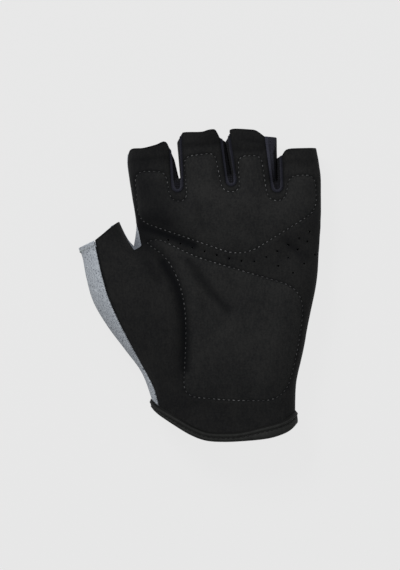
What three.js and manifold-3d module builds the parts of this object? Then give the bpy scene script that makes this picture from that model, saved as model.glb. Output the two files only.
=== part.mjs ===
// A left-hand fingerless fitness glove, lying palm up with its back on the table.
// X runs from the thumb side to the little finger, Y from the wrist to the fingertips, Z up.
// The glove is one hollow skin over the plan outline: every panel is a stretch of that skin with a
// real wall, cut at the seams, and every seam keeps a small gap. Millimetres throughout.
import * as THREE from 'three';
import { mergeVertices } from 'three/addons/utils/BufferGeometryUtils.js';
import Module from 'manifold-3d';

const wasm = await Module();
wasm.setup();

// Driving dimensions
const PALM_WALL = 1.6;
const BACK_WALL = 1.4;
const GUSSET_WALL = 1.2;
const PAD_THICKNESS = 1.5;
const PAD_EDGE_THICKNESS = 0.8;
const PAD_LIFT = 0.4;
const BINDING = { leg: 2.9, cap: 1.7, cloth: 1.0, clearance: 0.4 };
// The tape turns up towards the little finger's side, where more of it shows on the palm
const TURNED_UP = { extra: 2, fromX: 18, toX: 38 };
const VENT_RADIUS = 0.55;
const BACK_RIM_DROP = 1.5;
const BINDING_BED = 1.9;
const ROLLED_EDGE = THREE.MathUtils.degToRad(50);
const PALM_WRAP = THREE.MathUtils.degToRad(-25);
const SEAM_ANGLE = THREE.MathUtils.degToRad(2.3);
const GUSSET_ANGLE = THREE.MathUtils.degToRad(3.2);
const CENTRING = 0.6;

// Fullness of the stuffed glove: its height above the table, the radius its side rolls over with,
// and the height at which the side stands furthest out
const FULLNESS = [
  { at: 'index end', x: -28, y: 64, crown: 19, roll: 9.5, girdle: 8.5 },
  { at: 'middle end', x: 0, y: 71, crown: 19.5, roll: 9.5, girdle: 8.5 },
  { at: 'ring end', x: 26, y: 71, crown: 19, roll: 9.5, girdle: 8.5 },
  { at: 'little end', x: 53, y: 62, crown: 17.5, roll: 9, girdle: 8 },
  { at: 'index knuckle', x: -24, y: 38, crown: 24, roll: 13, girdle: 10 },
  { at: 'middle knuckle', x: 8, y: 34, crown: 25.5, roll: 14, girdle: 10 },
  { at: 'little knuckle', x: 55, y: 36, crown: 22, roll: 13, girdle: 9.5 },
  { at: 'palm hollow', x: 18, y: -4, crown: 24.5, roll: 20, girdle: 11 },
  { at: 'thenar', x: -24, y: -16, crown: 29, roll: 17, girdle: 12 },
  { at: 'hypothenar', x: 46, y: -26, crown: 26.5, roll: 17, girdle: 11.5 },
  { at: 'heel', x: 14, y: -52, crown: 26.5, roll: 17, girdle: 12 },
  { at: 'wrist', x: 13, y: -78, crown: 24.5, roll: 15, girdle: 12 },
  { at: 'thumb end', x: -51, y: 25, crown: 21.5, roll: 11, girdle: 10 },
  { at: 'thumb root', x: -44, y: 4, crown: 26, roll: 14, girdle: 11 },
];
const FULLNESS_REACH = 21;

// Soft folds pressed into the palm side
const FOLDS = [
  { name: 'thumb groove', depth: 1.9, width: 4.2, path: [[-20, 14], [-11, -2], [-8.5, -20], [-9.5, -38]] },
  { name: 'palm crease', depth: 1.1, width: 5, path: [[-7, 9], [4, -6], [12, -20]] },
  { name: 'index crease', depth: 1.2, width: 4, path: [[-33, 33], [-20, 26], [-6, 22]] },
  { name: 'little crease', depth: 0.9, width: 5, path: [[59, 24], [45, 15]] },
  { name: 'index hem', depth: 0.5, width: 2.2, path: [[-38, 62], [-17, 64]] },
  { name: 'middle hem', depth: 0.5, width: 2.2, path: [[-11, 71.5], [11, 73.5]] },
  { name: 'ring hem', depth: 0.6, width: 2.2, path: [[15, 71], [35, 71]] },
  { name: 'little hem', depth: 0.5, width: 2.2, path: [[44, 62], [63, 61.5]] },
];

// Plan outline where the glove stands furthest out
const OUTLINE = {
  thumbOuter: [[-24.7, -64], [-30.7, -47.4], [-39.8, -34.7], [-49.3, -22], [-56.7, -9.3], [-60.4, 3.4],
    [-62.3, 13.5], [-64.1, 18.3]],
  thumbInner: [[-43, 33.4], [-41.6, 30.5], [-39.8, 26.8], [-37.6, 23.1], [-35.1, 20.4]],
  indexSide: [[-35.1, 20.4], [-33.8, 29.4], [-34.2, 36.8], [-37.4, 55.4], [-38.6, 64], [-38.4, 69.2]],
  littleSide: [[50.4, -72.4], [50.6, -60], [51.3, -49.5], [54.8, -34.7], [57.2, -21], [61.6, 0],
    [63.1, 16], [64, 34], [64, 55.4], [63.1, 64.9], [61.7, 71.8]],
};

// Seams and edges of the palm panel, in plan
const PALM_EDGES = {
  thumbSeam: [[-21.3, -67.4], [-24.1, -55.9], [-30.4, -43.2], [-37.8, -29.4], [-46.6, -10.1],
    [-50.8, 3.1], [-53.9, 16.4], [-55.8, 22.8]],
  divider: [[-4.8, -77.8], [-10, -42], [-18, -8], [-33.6, 18.2]],
  thumbInner: [[-33.6, 18.2], [-35.2, 18.9], [-36.4, 21.1], [-37.9, 23.1], [-39.8, 26.6], [-42.9, 33.3]],
  indexSide: [[-33.6, 18.2], [-31.8, 20.6], [-32.4, 26.8], [-33.6, 32.1], [-34.1, 36.8], [-37.3, 55.4],
    [-38.4, 64], [-38, 69.2]],
};
const WRIST_EDGE = {
  palm: [[-24.7, -64], [-21.3, -67.4], [-12.7, -73.1], [-4.8, -77.8], [3.2, -80.8], [12.7, -81.5],
    [23.9, -81], [34.5, -79.9], [41.5, -78.2], [46.8, -75.8], [50.4, -72.4]],
  back: [[-24.7, -64], [-10, -68.5], [13, -72], [36, -73], [50.4, -72.4]],
};
const RIMS = {
  thumb: [[-55.8, 22.8], [-52.5, 26.9], [-47.4, 30.8], [-42.9, 33.3]],
  index: [[-38, 69.2], [-35.9, 71.8], [-30.1, 71.8], [-22.8, 74], [-19.1, 75.7], [-17.4, 75.1],
    [-16.3, 72.6]],
  middle: [[-9.8, 79.4], [-8.8, 80.4], [0.5, 80.6], [4.1, 81.6], [7, 82.1], [8.5, 81.5], [10.6, 77.6]],
  ring: [[15.6, 79.6], [17, 81.7], [27.3, 81.8], [30.3, 80.9], [34.2, 78.2]],
  little: [[43.3, 68.4], [44.4, 70.5], [46.5, 71.3], [53, 71.6], [58.9, 71.9]],
};

// Slots between the fingers: where the panels are cut away (edges and floor), and where the gusset
// in the slot stands furthest into it (bulge)
const SLOTS = [
  { name: 'index_middle', leftEdge: [-16.3, 72.6], rightEdge: [-9.8, 79.4], floor: [-11.9, 51.9],
    floorRadius: 3.2, leftBulge: [-13.6, 66.3], rightBulge: [-12.2, 75.5], bulgeFloor: [-10.9, 56.7] },
  { name: 'middle_ring', leftEdge: [10.6, 77.6], rightEdge: [15.6, 79.6], floor: [16.5, 54.9],
    floorRadius: 3, leftBulge: [13, 75.8], rightBulge: [13.8, 75.8], bulgeFloor: [16.7, 58.6] },
  { name: 'ring_little', leftEdge: [34.2, 78.2], rightEdge: [43.3, 68.4], floor: [40.8, 51.8],
    floorRadius: 3.2, leftBulge: [40.3, 78], rightBulge: [41.1, 67], bulgeFloor: [41, 55.4] },
];
const BULGE_RADIUS = 0.35;

// Rows of air holes punched through the palm in the band between the two pads
const VENT_ROWS = [
  { holes: 13, path: [[-16.7, 23.4], [2.5, 17.3], [21.9, 12.3], [34, 14], [58, 27.8]] },
  { holes: 4, path: [[41.2, 9.7], [56.9, 22.6]] },
  { holes: 3, path: [[49, 6.1], [61.1, 15.7]] },
];

// Corners of the two pads' stitched outlines; ease is how far from the corner its curve begins
const KNUCKLE_PAD = [
  { corner: 'index, thumb side', x: -34.6, y: 60.2, ease: 6 },
  { corner: 'index, middle side', x: -17.9, y: 60, ease: 4 },
  { corner: 'first slot, index side', x: -15.6, y: 43.8, ease: 5.5 },
  { corner: 'first slot, middle side', x: -6.6, y: 43.8, ease: 5.5 },
  { corner: 'middle, index side', x: -8.8, y: 68.3, ease: 4 },
  { corner: 'middle, ring side', x: 7.9, y: 70.3, ease: 4 },
  { corner: 'second slot, middle side', x: 11.9, y: 48.8, ease: 5 },
  { corner: 'second slot, ring side', x: 21, y: 48.8, ease: 5 },
  { corner: 'ring, middle side', x: 20, y: 68.2, ease: 4.5 },
  { corner: 'ring, little side', x: 32.3, y: 68.8, ease: 4.5 },
  { corner: 'third slot, ring side', x: 35.9, y: 44.2, ease: 6 },
  { corner: 'third slot, little side', x: 45.2, y: 44.2, ease: 5.5 },
  { corner: 'little, ring side', x: 46.9, y: 57.2, ease: 4.5 },
  { corner: 'little, outer side', x: 61, y: 58, ease: 6 },
  { corner: 'outer side of the palm', x: 61.9, y: 39, ease: 7 },
  { corner: 'lowest point', x: 22.4, y: 14.3, ease: 11 },
  { corner: 'thumb side of the palm', x: -32.6, y: 33.5, ease: 7 },
];
const HEEL_PAD = [
  { corner: 'tip by the thumb', x: -28.8, y: 22.2, ease: 2.5 },
  { corner: 'top of the tip', x: -21.6, y: 24, ease: 4 },
  { corner: 'upper edge', x: -3, y: 14.6, ease: 9 },
  { corner: 'upper outer', x: 54.9, y: -2.6, ease: 13 },
  { corner: 'outer side', x: 53.4, y: -27, ease: 14 },
  { corner: 'lower outer', x: 45.5, y: -61.7, ease: 12 },
  { corner: 'lower edge', x: 20, y: -62.1, ease: 12 },
  { corner: 'lower inner', x: -8.8, y: -59.6, ease: 8 },
  { corner: 'inner side', x: -6.5, y: -11.5, ease: 22 },
  { corner: 'under the thumb', x: -15.6, y: 12.9, ease: 11 },
];

// How finely the panels are divided
const BODY_ROWS = 8;
const TURN_ROWS = 4;
const THUMB_ROWS = 5;
// Shares of the way from the crotch to the finger root, from there to the rim and from the crotch
// to the thumb's end at which their rows stand, closer together where the edges turn
const KNUCKLE_SHARES = [0, 0.05, 0.13, 0.35, 0.66, 1];
const SIDE_SHARES = [0, 0.09, 0.24, 0.46, 0.72, 1];
const THUMB_SHARES = [0, 0.08, 0.19, 0.36, 0.64, 1];
const KNUCKLE_ROWS = KNUCKLE_SHARES.length - 1;
const ROOT_ROW = BODY_ROWS + KNUCKLE_ROWS;
const PALM_COLUMNS = {
  index: [0, 0.07, 0.2, 0.45, 0.7, 0.88, 1],
  middle: [0, 0.08, 0.32, 0.68, 0.9, 1],
  ring: [0, 0.1, 0.36, 0.62, 0.82, 1],
  little: [0, 0.08, 0.3, 0.65, 1],
};
const BACK_COLUMNS = {
  index: [0, 0.3, 0.75, 1],
  middle: [0, 0.25, 0.75, 1],
  ring: [0, 0.25, 0.75, 1],
  little: [0, 0.25, 0.7, 1],
};
const THUMB_COLUMNS = [0, 0.2, 0.42, 0.64, 0.82, 0.94, 1];
const FINGERS = ['index', 'middle', 'ring', 'little'];
const LITTLE_KNUCKLE_Y = 14;
const FINGER_ROOT_Y = 52;
const THUMB_ROOT_SHARE = 0.8;

// Plan geometry
const curve = (points) => new THREE.SplineCurve(points.map(([x, y]) => new THREE.Vector2(x, y)));
const pointAt = (c, share) => c.getPointAt(THREE.MathUtils.clamp(share, 0, 1)).toArray();
const sample = (c, from, to, count) => Array.from({ length: count + 1 },
  (_, i) => pointAt(c, from + (to - from) * i / count));
const mix = (a, b, t) => [a[0] + (b[0] - a[0]) * t, a[1] + (b[1] - a[1]) * t];
const sampleAt = (c, from, to, shares) => shares.map((share) => pointAt(c, from + (to - from) * share));
const minus = (a, b) => [a[0] - b[0], a[1] - b[1]];
const unit = (v) => [v[0] / Math.hypot(...v), v[1] / Math.hypot(...v)];
const last = (list) => list[list.length - 1];
const chain = (...stretches) => stretches.reduce((all, s) => [...all, ...s.slice(1)]);

// The share of a curve's length at which one coordinate, growing along the curve, reaches a value
function shareAt(c, axis, value) {
  let low = 0;
  let high = 1;
  for (let i = 0; i < 24; i += 1) {
    const middle = (low + high) / 2;
    if (pointAt(c, middle)[axis] < value) low = middle;
    else high = middle;
  }
  return (low + high) / 2;
}

// How far along its own chord each point of a line lies
function sharesAlong(points) {
  const [dx, dy] = minus(last(points), points[0]);
  return points.map((p) => ((p[0] - points[0][0]) * dx + (p[1] - points[0][1]) * dy) / (dx * dx + dy * dy));
}

const curvesOf = (table) => Object.fromEntries(
  Object.entries(table).map(([name, points]) => [name, curve(points)]));
const sides = curvesOf(OUTLINE);
const edges = curvesOf(PALM_EDGES);
const rims = curvesOf(RIMS);
const wristEdges = curvesOf(WRIST_EDGE);

function onWrist(x, side) {
  const edge = side > 0 ? wristEdges.palm : wristEdges.back;
  return pointAt(edge, shareAt(edge, 0, x));
}

// A line round a slot: down the left finger, round the floor and up the right finger
function slotLine(left, floor, radius, right) {
  const down = Math.atan2(floor[1] - (left[1] + right[1]) / 2, floor[0] - (left[0] + right[0]) / 2);
  const turn = Array.from({ length: TURN_ROWS + 1 }, (_, i) => {
    const angle = down - Math.PI / 2 + Math.PI * i / TURN_ROWS;
    return [floor[0] + radius * Math.cos(angle), floor[1] + radius * Math.sin(angle)];
  });
  return {
    left: SIDE_SHARES.map((share) => mix(turn[0], left, share)).reverse(),
    turn,
    right: SIDE_SHARES.map((share) => mix(last(turn), right, share)),
  };
}
const edgeLines = SLOTS.map((s) => slotLine(s.leftEdge, s.floor, s.floorRadius, s.rightEdge));
const bulgeLines = SLOTS.map((s) => slotLine(s.leftBulge, s.bulgeFloor, BULGE_RADIUS, s.rightBulge));
const wholeLine = (line) => chain(line.left, line.turn, line.right);

// The sides of the glove as lines that run past its openings, each with the direction into the glove
const BEYOND = 16;
function sideLine(points, inward) {
  const first = unit(minus(points[0], points[1]));
  const end = unit(minus(last(points), points[points.length - 2]));
  const line = [
    [points[0][0] + first[0] * BEYOND, points[0][1] + first[1] * BEYOND],
    ...points,
    [last(points)[0] + end[0] * BEYOND, last(points)[1] + end[1] * BEYOND],
  ];
  const normals = line.slice(1).map((p, i) => {
    const [dx, dy] = unit(minus(p, line[i]));
    return [-dy * inward, dx * inward];
  });
  const atPoints = line.map((_, i) => {
    const [a, b] = [normals[Math.max(i - 1, 0)], normals[Math.min(i, normals.length - 1)]];
    return unit([a[0] + b[0], a[1] + b[1]]);
  });
  return { line, normals: atPoints };
}
const crotchLine = chain(sample(sides.thumbInner, 0, 1, 16), sample(sides.indexSide, 0, 1, 32));
const crotchSide = sideLine(crotchLine, -1);
const thumbSide = sideLine(sample(sides.thumbOuter, 0, 1, 40), -1);
const littleSide = sideLine(sample(sides.littleSide, 0, 1, 48), 1);
const sideLines = [
  thumbSide,
  crotchSide,
  littleSide,
  ...bulgeLines.map((line) => sideLine(wholeLine(line), -1)),
];

// The nearest point of a side, its distance and the direction from it into the glove
const NEAR_SIDE = 0.3;
function nearestOn({ line, normals }, [x, y]) {
  let best = { distance: Infinity };
  for (let i = 1; i < line.length; i += 1) {
    const [ax, ay] = line[i - 1];
    const [dx, dy] = minus(line[i], line[i - 1]);
    const t = THREE.MathUtils.clamp(((x - ax) * dx + (y - ay) * dy) / (dx * dx + dy * dy), 0, 1);
    const away = [x - ax - t * dx, y - ay - t * dy];
    const distance = Math.hypot(...away);
    if (distance < best.distance) {
      const normal = mix(normals[i - 1], normals[i], t);
      best = { distance, away, point: [ax + t * dx, ay + t * dy], normal };
    }
  }
  const { away, normal } = best;
  const facing = away[0] * normal[0] + away[1] * normal[1] < 0 ? -1 : 1;
  best.direction = unit([away[0] * facing + normal[0] * NEAR_SIDE, away[1] * facing + normal[1] * NEAR_SIDE]);
  return best;
}

// Distance from the sides in plan, softened where two sides are equally near, and its direction
const SOFTNESS = 6;
function fromSides(q) {
  const parts = sideLines.map((side) => {
    const { distance, direction } = nearestOn(side, q);
    return { distance: Math.max(distance, 1e-4), direction };
  });
  const distance = parts.reduce((sum, part) => sum + part.distance ** -SOFTNESS, 0) ** (-1 / SOFTNESS);
  const direction = [0, 1].map((k) => parts.reduce(
    (sum, part) => sum + part.direction[k] * (distance / part.distance) ** (SOFTNESS + 1), 0));
  return { distance, direction };
}

function fullness([x, y]) {
  const total = { crown: 0, roll: 0, girdle: 0, weight: 0 };
  for (const f of FULLNESS) {
    const weight = Math.exp(-((x - f.x) ** 2 + (y - f.y) ** 2) / FULLNESS_REACH ** 2) + 1e-9;
    total.crown += weight * f.crown;
    total.roll += weight * f.roll;
    total.girdle += weight * f.girdle;
    total.weight += weight;
  }
  const { crown, roll, girdle, weight } = total;
  return { crown: crown / weight, roll: roll / weight, girdle: girdle / weight };
}

function distanceToLine([x, y], line) {
  let best = Infinity;
  for (let i = 1; i < line.length; i += 1) {
    const [ax, ay] = line[i - 1];
    const [dx, dy] = minus(line[i], line[i - 1]);
    const t = THREE.MathUtils.clamp(((x - ax) * dx + (y - ay) * dy) / (dx * dx + dy * dy), 0, 1);
    best = Math.min(best, Math.hypot(x - ax - t * dx, y - ay - t * dy));
  }
  return best;
}

const foldLines = FOLDS.map((fold) => ({ ...fold, line: sample(curve(fold.path), 0, 1, 16) }));
const foldDepth = (q) => foldLines.reduce(
  (sum, fold) => sum + fold.depth * Math.exp(-((distanceToLine(q, fold.line) / fold.width) ** 2)), 0);

// The back is raised off the table by the binding round the wrist
const bindingLift = ([, y]) => BINDING_BED * THREE.MathUtils.clamp((-60 - y) / 5, 0, 1);

// A point of the skin over the plan point q, on the palm side (+1) or the back (-1), with its normal
function skin({ q, side }) {
  const { crown, roll, girdle } = fullness(q);
  const { distance, direction } = fromSides(q);
  const cosine = 1 - Math.min(distance / roll, 1);
  const sine = Math.sqrt(1 - cosine * cosine);
  const rise = side > 0 ? crown - girdle : girdle;
  const shift = side > 0 ? -foldDepth(q) : bindingLift(q);
  const normal = new THREE.Vector3(
    -direction[0] * cosine / roll, -direction[1] * cosine / roll, side * sine / rise);
  return {
    point: new THREE.Vector3(q[0], q[1], girdle + side * rise * sine + shift * sine),
    normal: normal.normalize(),
  };
}

// How far a plan point has rolled in from the side, as an angle
function rollAngle(q) {
  return Math.acos(1 - Math.min(fromSides(q).distance / fullness(q).roll, 1));
}

// Sheets: grids of plan points, each on the palm or the back side
const onPalm = (grid) => grid.map((row) => row.map((q) => ({ q, side: 1 })));
const onBack = (grid) => grid.map((row) => row.map((q) => ({ q, side: -1 })));

// A grid between four edges that share their corners
function fill(bottom, top, left, right) {
  const rows = left.length - 1;
  const across = sharesAlong(top);
  return left.map((l, j) => top.map((t, i) => {
    const [u, v] = [across[i], j / rows];
    return [0, 1].map((k) => (1 - v) * bottom[i][k] + v * t[k] + (1 - u) * l[k] + u * right[j][k]
      - (1 - u) * ((1 - v) * bottom[0][k] + v * top[0][k])
      - u * ((1 - v) * last(bottom)[k] + v * last(top)[k]));
  }));
}

// The plan point between a side and an edge further in that has rolled by the given angle
function rolledTo(side, edge, angle) {
  let low = 0;
  let high = 1;
  for (let i = 0; i < 16; i += 1) {
    const middle = (low + high) / 2;
    if (rollAngle(mix(side, edge, middle)) < angle) low = middle;
    else high = middle;
  }
  return mix(side, edge, (low + high) / 2);
}

// Points across a side, by roll angle, from the palm edge over the side to the back edge
function acrossSide(palmEdge, side, backEdge, angles) {
  return angles.map((angle) => ({
    q: angle === 0 ? side : rolledTo(side, angle > 0 ? palmEdge : backEdge, Math.abs(angle)),
    side: angle > 0 ? 1 : -1,
  }));
}

// The point that lies the rolled edge's angle in from the part of a side that is nearest to p
function rolledEdge(side, p) {
  const { point, direction } = nearestOn(side, p);
  const reach = fullness(point).roll * (1 - Math.cos(ROLLED_EDGE));
  return [point[0] + direction[0] * reach, point[1] + direction[1] * reach];
}

const quadsOf = (grid) => grid.slice(1).flatMap((row, j) => row.slice(1).map(
  (corner, i) => [grid[j][i], grid[j][i + 1], corner, row[i]]));

function geometryFrom(points, faces) {
  const geometry = new THREE.BufferGeometry();
  geometry.setAttribute('position', new THREE.Float32BufferAttribute(points.flatMap((p) => p.toArray()), 3));
  geometry.setIndex(faces.flat());
  return geometry;
}

// Makes a closed wall of sheets: an upper face at one height over the skin, a lower face at another
// and rims between them
function wallOf(quads, upperAt, lowerAt) {
  const indices = new Map();
  const upper = [];
  const lower = [];
  const outward = [];
  const indexOf = (place) => {
    const { point, normal } = skin(place);
    const key = point.toArray().map((value) => Math.round(value * 200)).join();
    if (!indices.has(key)) {
      indices.set(key, upper.length);
      upper.push(point.clone().addScaledVector(normal, upperAt(place)));
      lower.push(point.clone().addScaledVector(normal, lowerAt(place)));
      outward.push(normal);
    }
    return indices.get(key);
  };
  let faces = [];
  for (const quad of quads) {
    const [a, b, c, d] = quad.map(indexOf);
    if (a !== b && b !== c && a !== c) faces.push([a, b, c]);
    if (a !== c && c !== d && a !== d) faces.push([a, c, d]);
  }
  const facing = faces.reduce((sum, [a, b, c]) => sum + upper[b].clone().sub(upper[a])
    .cross(upper[c].clone().sub(upper[a])).dot(outward[a]), 0);
  if (facing < 0) faces = faces.map(([a, b, c]) => [a, c, b]);
  const count = upper.length;
  const borders = new Map();
  for (const [a, b, c] of faces) {
    for (const [from, to] of [[a, b], [b, c], [c, a]]) {
      const key = `${Math.min(from, to)},${Math.max(from, to)}`;
      if (borders.has(key)) borders.delete(key);
      else borders.set(key, [from, to]);
    }
  }
  const rimFaces = [...borders.values()].flatMap(([from, to]) => (upper[from].z > upper[to].z
    ? [[to, from, to + count], [from, from + count, to + count]]
    : [[to, from, from + count], [to, from + count, to + count]]));
  const lowerFaces = faces.map(([a, b, c]) => [a + count, c + count, b + count]);
  return geometryFrom([...upper, ...lower], [...faces, ...lowerFaces, ...rimFaces]);
}

// Solids for the cuts
function solidOf(geometry) {
  const bare = geometry.clone();
  bare.deleteAttribute('normal');
  bare.deleteAttribute('uv');
  const merged = mergeVertices(bare, 1e-4);
  return new wasm.Manifold(new wasm.Mesh({
    numProp: 3,
    vertProperties: new Float32Array(merged.attributes.position.array),
    triVerts: new Uint32Array(merged.index.array),
  }));
}

function geometryOf(solid) {
  const mesh = solid.getMesh();
  const geometry = new THREE.BufferGeometry();
  geometry.setAttribute('position', new THREE.Float32BufferAttribute(mesh.vertProperties, 3));
  geometry.setIndex([...mesh.triVerts]);
  return geometry;
}

// Stations up the sides of the glove, shared by the pieces that meet there
const littleStations = chain(
  sample(sides.littleSide, 0, shareAt(sides.littleSide, 1, LITTLE_KNUCKLE_Y), BODY_ROWS),
  sample(sides.littleSide, shareAt(sides.littleSide, 1, LITTLE_KNUCKLE_Y),
    shareAt(sides.littleSide, 1, FINGER_ROOT_Y), KNUCKLE_ROWS),
  sampleAt(sides.littleSide, shareAt(sides.littleSide, 1, FINGER_ROOT_Y), 1, SIDE_SHARES),
);
const upTheThumb = (c) => chain(
  sample(c, 0, THUMB_ROOT_SHARE, BODY_ROWS), sample(c, THUMB_ROOT_SHARE, 1, THUMB_ROWS));
const thumbStations = upTheThumb(sides.thumbOuter);
const seamStations = upTheThumb(edges.thumbSeam);
const indexRoot = shareAt(edges.indexSide, 1, FINGER_ROOT_Y);
const indexEdge = chain(
  sampleAt(edges.indexSide, 0, indexRoot, KNUCKLE_SHARES),
  sampleAt(edges.indexSide, indexRoot, 1, SIDE_SHARES));
const innerEdge = sampleAt(edges.thumbInner, 0, 1, THUMB_SHARES).reverse();
const indexStations = indexEdge.map((p) => nearestOn(crotchSide, p).point);
const innerStations = innerEdge.map((p) => nearestOn(crotchSide, p).point);

const littleInset = littleStations.map((p) => rolledEdge(littleSide, p));
const thumbBackEdge = thumbStations.map((p) => rolledEdge(thumbSide, p));
const innerBackEdge = innerEdge.map((p) => rolledEdge(crotchSide, p));
const indexBackEdge = indexEdge.map((p) => rolledEdge(crotchSide, p));

// The part of a panel that carries the fingers: a body sheet and four finger sheets
function fingerComb(left, right, columns, side, rimDrop) {
  const bottoms = FINGERS.map((finger, i) => {
    const from = i === 0 ? left[ROOT_ROW] : last(edgeLines[i - 1].turn);
    const to = i === 3 ? right[ROOT_ROW] : edgeLines[i].turn[0];
    return columns[finger].map((share) => mix(from, to, share));
  });
  const root = chain(...bottoms.flatMap((bottom, i) => (i < 3 ? [bottom, edgeLines[i].turn] : [bottom])));
  const wristShares = sharesAlong(root).map((share, i) => (share + i / (root.length - 1)) / 2);
  const wrist = wristShares.map((share) => onWrist(left[0][0] + (right[0][0] - left[0][0]) * share, side));
  const body = fill([left[0], ...wrist.slice(1, -1), right[0]], root,
    left.slice(0, ROOT_ROW + 1), right.slice(0, ROOT_ROW + 1));
  const drop = ([x, y]) => [x, y - rimDrop];
  const fingers = FINGERS.map((finger, i) => {
    const leftSide = i === 0 ? left.slice(ROOT_ROW) : edgeLines[i - 1].right;
    const rightSide = i === 3 ? right.slice(ROOT_ROW) : [...edgeLines[i].left].reverse();
    const lowered = [leftSide, rightSide].map((line) => [...line.slice(0, -1), drop(last(line))]);
    const rim = rims[finger];
    const shifts = [minus(last(lowered[0]), pointAt(rim, 0)), minus(last(lowered[1]), pointAt(rim, 1))];
    const top = sharesAlong(bottoms[i]).map((share) => [0, 1].map(
      (k) => pointAt(rim, share)[k] + mix(shifts[0], shifts[1], share)[k]));
    return fill(bottoms[i], top, ...lowered);
  });
  return { body, fingers };
}

// Palm panel: fingers, palm and thumb in one, wrapped round the little finger's side of the hand
function palmSheets() {
  const divider = sample(edges.divider, 0, 1, BODY_ROWS);
  const right = [onWrist(littleInset[0][0], 1), ...littleInset.slice(1)];
  const { body, fingers } = fingerComb(chain(divider, indexEdge), right, PALM_COLUMNS, 1, 0);
  const wrapSteps = 5;
  const wrap = littleStations.map((station, j) => {
    const angles = Array.from({ length: wrapSteps }, (_, i) => ROLLED_EDGE
      + (PALM_WRAP - ROLLED_EDGE) * (i + 1) / wrapSteps);
    const band = acrossSide(littleInset[j], station, littleInset[j], angles);
    const placed = j > 0 ? band : band.map(({ q, side }) => ({ q: onWrist(q[0], side), side }));
    return [{ q: right[j], side: 1 }, ...placed];
  });
  const thumbWrist = THUMB_COLUMNS.map(
    (share) => onWrist(seamStations[0][0] + (divider[0][0] - seamStations[0][0]) * share, 1));
  const thumb = fill([seamStations[0], ...thumbWrist.slice(1, -1), divider[0]],
    THUMB_COLUMNS.map((share) => pointAt(rims.thumb, share)),
    seamStations, chain(divider, [...innerEdge].reverse()));
  const sheets = [thumb, body, ...fingers].map(onPalm);
  return { sheets, wrap, wristRows: [0, 1].map((j) => chain(sheets[0][j], sheets[1][j], wrap[j])) };
}

// Back panel: the underside of the glove, carried up over the outside of the thumb to its seam
function backSheets() {
  const crotch = indexBackEdge[0];
  const middle = PALM_EDGES.divider.slice(1, -1);
  const underThumb = curve([onWrist(PALM_EDGES.divider[0][0], -1), ...middle, crotch]);
  const divider = sample(underThumb, 0, 1, BODY_ROWS);
  const right = [onWrist(littleInset[0][0], -1), ...littleInset.slice(1)];
  const { body, fingers } = fingerComb(chain(divider, indexBackEdge), right, BACK_COLUMNS, -1, BACK_RIM_DROP);
  const wrap = littleStations.map((station, j) => {
    const angles = [(PALM_WRAP - ROLLED_EDGE) / 2, PALM_WRAP - SEAM_ANGLE];
    const band = acrossSide(station, station, littleInset[j], angles);
    const placed = j > 0 ? band : band.map(({ q, side }) => ({ q: onWrist(q[0], side), side }));
    return [{ q: right[j], side: -1 }, ...placed];
  });
  const left = [onWrist(thumbBackEdge[0][0], -1), ...thumbBackEdge.slice(1)];
  const inner = chain(divider, [...innerBackEdge].reverse());
  const thumbWrist = THUMB_COLUMNS.map(
    (share) => onWrist(left[0][0] + (divider[0][0] - left[0][0]) * share, -1));
  const thumb = fill([left[0], ...thumbWrist.slice(1, -1), divider[0]],
    THUMB_COLUMNS.map((share) => mix(last(left), last(inner), share)), left, inner);
  const thumbWrap = thumbStations.map((station, j) => {
    const seam = rollAngle(seamStations[j]) - SEAM_ANGLE;
    const onBackSide = [0.25, 0.5, 0.75].map((share) => -ROLLED_EDGE * share);
    const angles = [seam, seam * 2 / 3, seam / 3, 0, ...onBackSide];
    const band = acrossSide(seamStations[j], station, thumbBackEdge[j], angles);
    const placed = j > 0 ? band : band.map(({ q, side }) => ({ q: onWrist(q[0], side), side }));
    return [...placed, { q: left[j], side: -1 }];
  });
  const sheets = [thumb, body, ...fingers].map(onBack);
  return {
    sheets,
    wraps: [wrap, thumbWrap],
    wristRows: [0, 1].map((j) => chain(thumbWrap[j], sheets[0][j], sheets[1][j], wrap[j])),
  };
}

// A gusset's angles across the side, from just below the palm's edge to just above the back's
function gussetAngles(palmEdge, backEdge) {
  const from = rollAngle(palmEdge) - GUSSET_ANGLE;
  const to = GUSSET_ANGLE - rollAngle(backEdge);
  if (from < GUSSET_ANGLE) return [0, 1, 2, 3, 4].map((i) => -GUSSET_ANGLE + (to + GUSSET_ANGLE) * i / 4);
  return [from, from / 2, 0, to / 2, to];
}

// Gusset between two fingers, down one side of the slot and up the other
function slotGusset(edgeLine, bulgeLine) {
  const edge = wholeLine(edgeLine);
  return wholeLine(bulgeLine).map((bulge, j) => {
    const isRim = j === 0 || j === edge.length - 1;
    const backEdge = isRim ? [edge[j][0], edge[j][1] - BACK_RIM_DROP] : edge[j];
    return acrossSide(edge[j], bulge, backEdge, gussetAngles(edge[j], backEdge));
  });
}

// Gusset from the thumb's end through the crotch and up the index finger
function thumbGusset() {
  const palmEdge = chain(innerEdge, indexEdge);
  const side = chain(innerStations, indexStations);
  const rim = last(indexBackEdge);
  const backEdge = [...chain(innerBackEdge, indexBackEdge).slice(0, -1), [rim[0], rim[1] - BACK_RIM_DROP]];
  return side.map((station, j) => acrossSide(palmEdge[j], station, backEdge[j],
    gussetAngles(palmEdge[j], backEdge[j])));
}

// A closed outline whose corners are eased into curves
function easedOutline(corners) {
  const outline = new THREE.Path();
  corners.forEach(({ x, y, ease }, i) => {
    const before = corners[(i + corners.length - 1) % corners.length];
    const after = corners[(i + 1) % corners.length];
    const [from, to] = [before, after].map((next) => {
      const [dx, dy] = unit([next.x - x, next.y - y]);
      const reach = Math.min(ease, Math.hypot(next.x - x, next.y - y) / 2);
      return [x + dx * reach, y + dy * reach];
    });
    if (i === 0) outline.moveTo(...from);
    else outline.lineTo(...from);
    outline.quadraticCurveTo(x, y, ...to);
  });
  outline.closePath();
  return outline;
}

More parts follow.
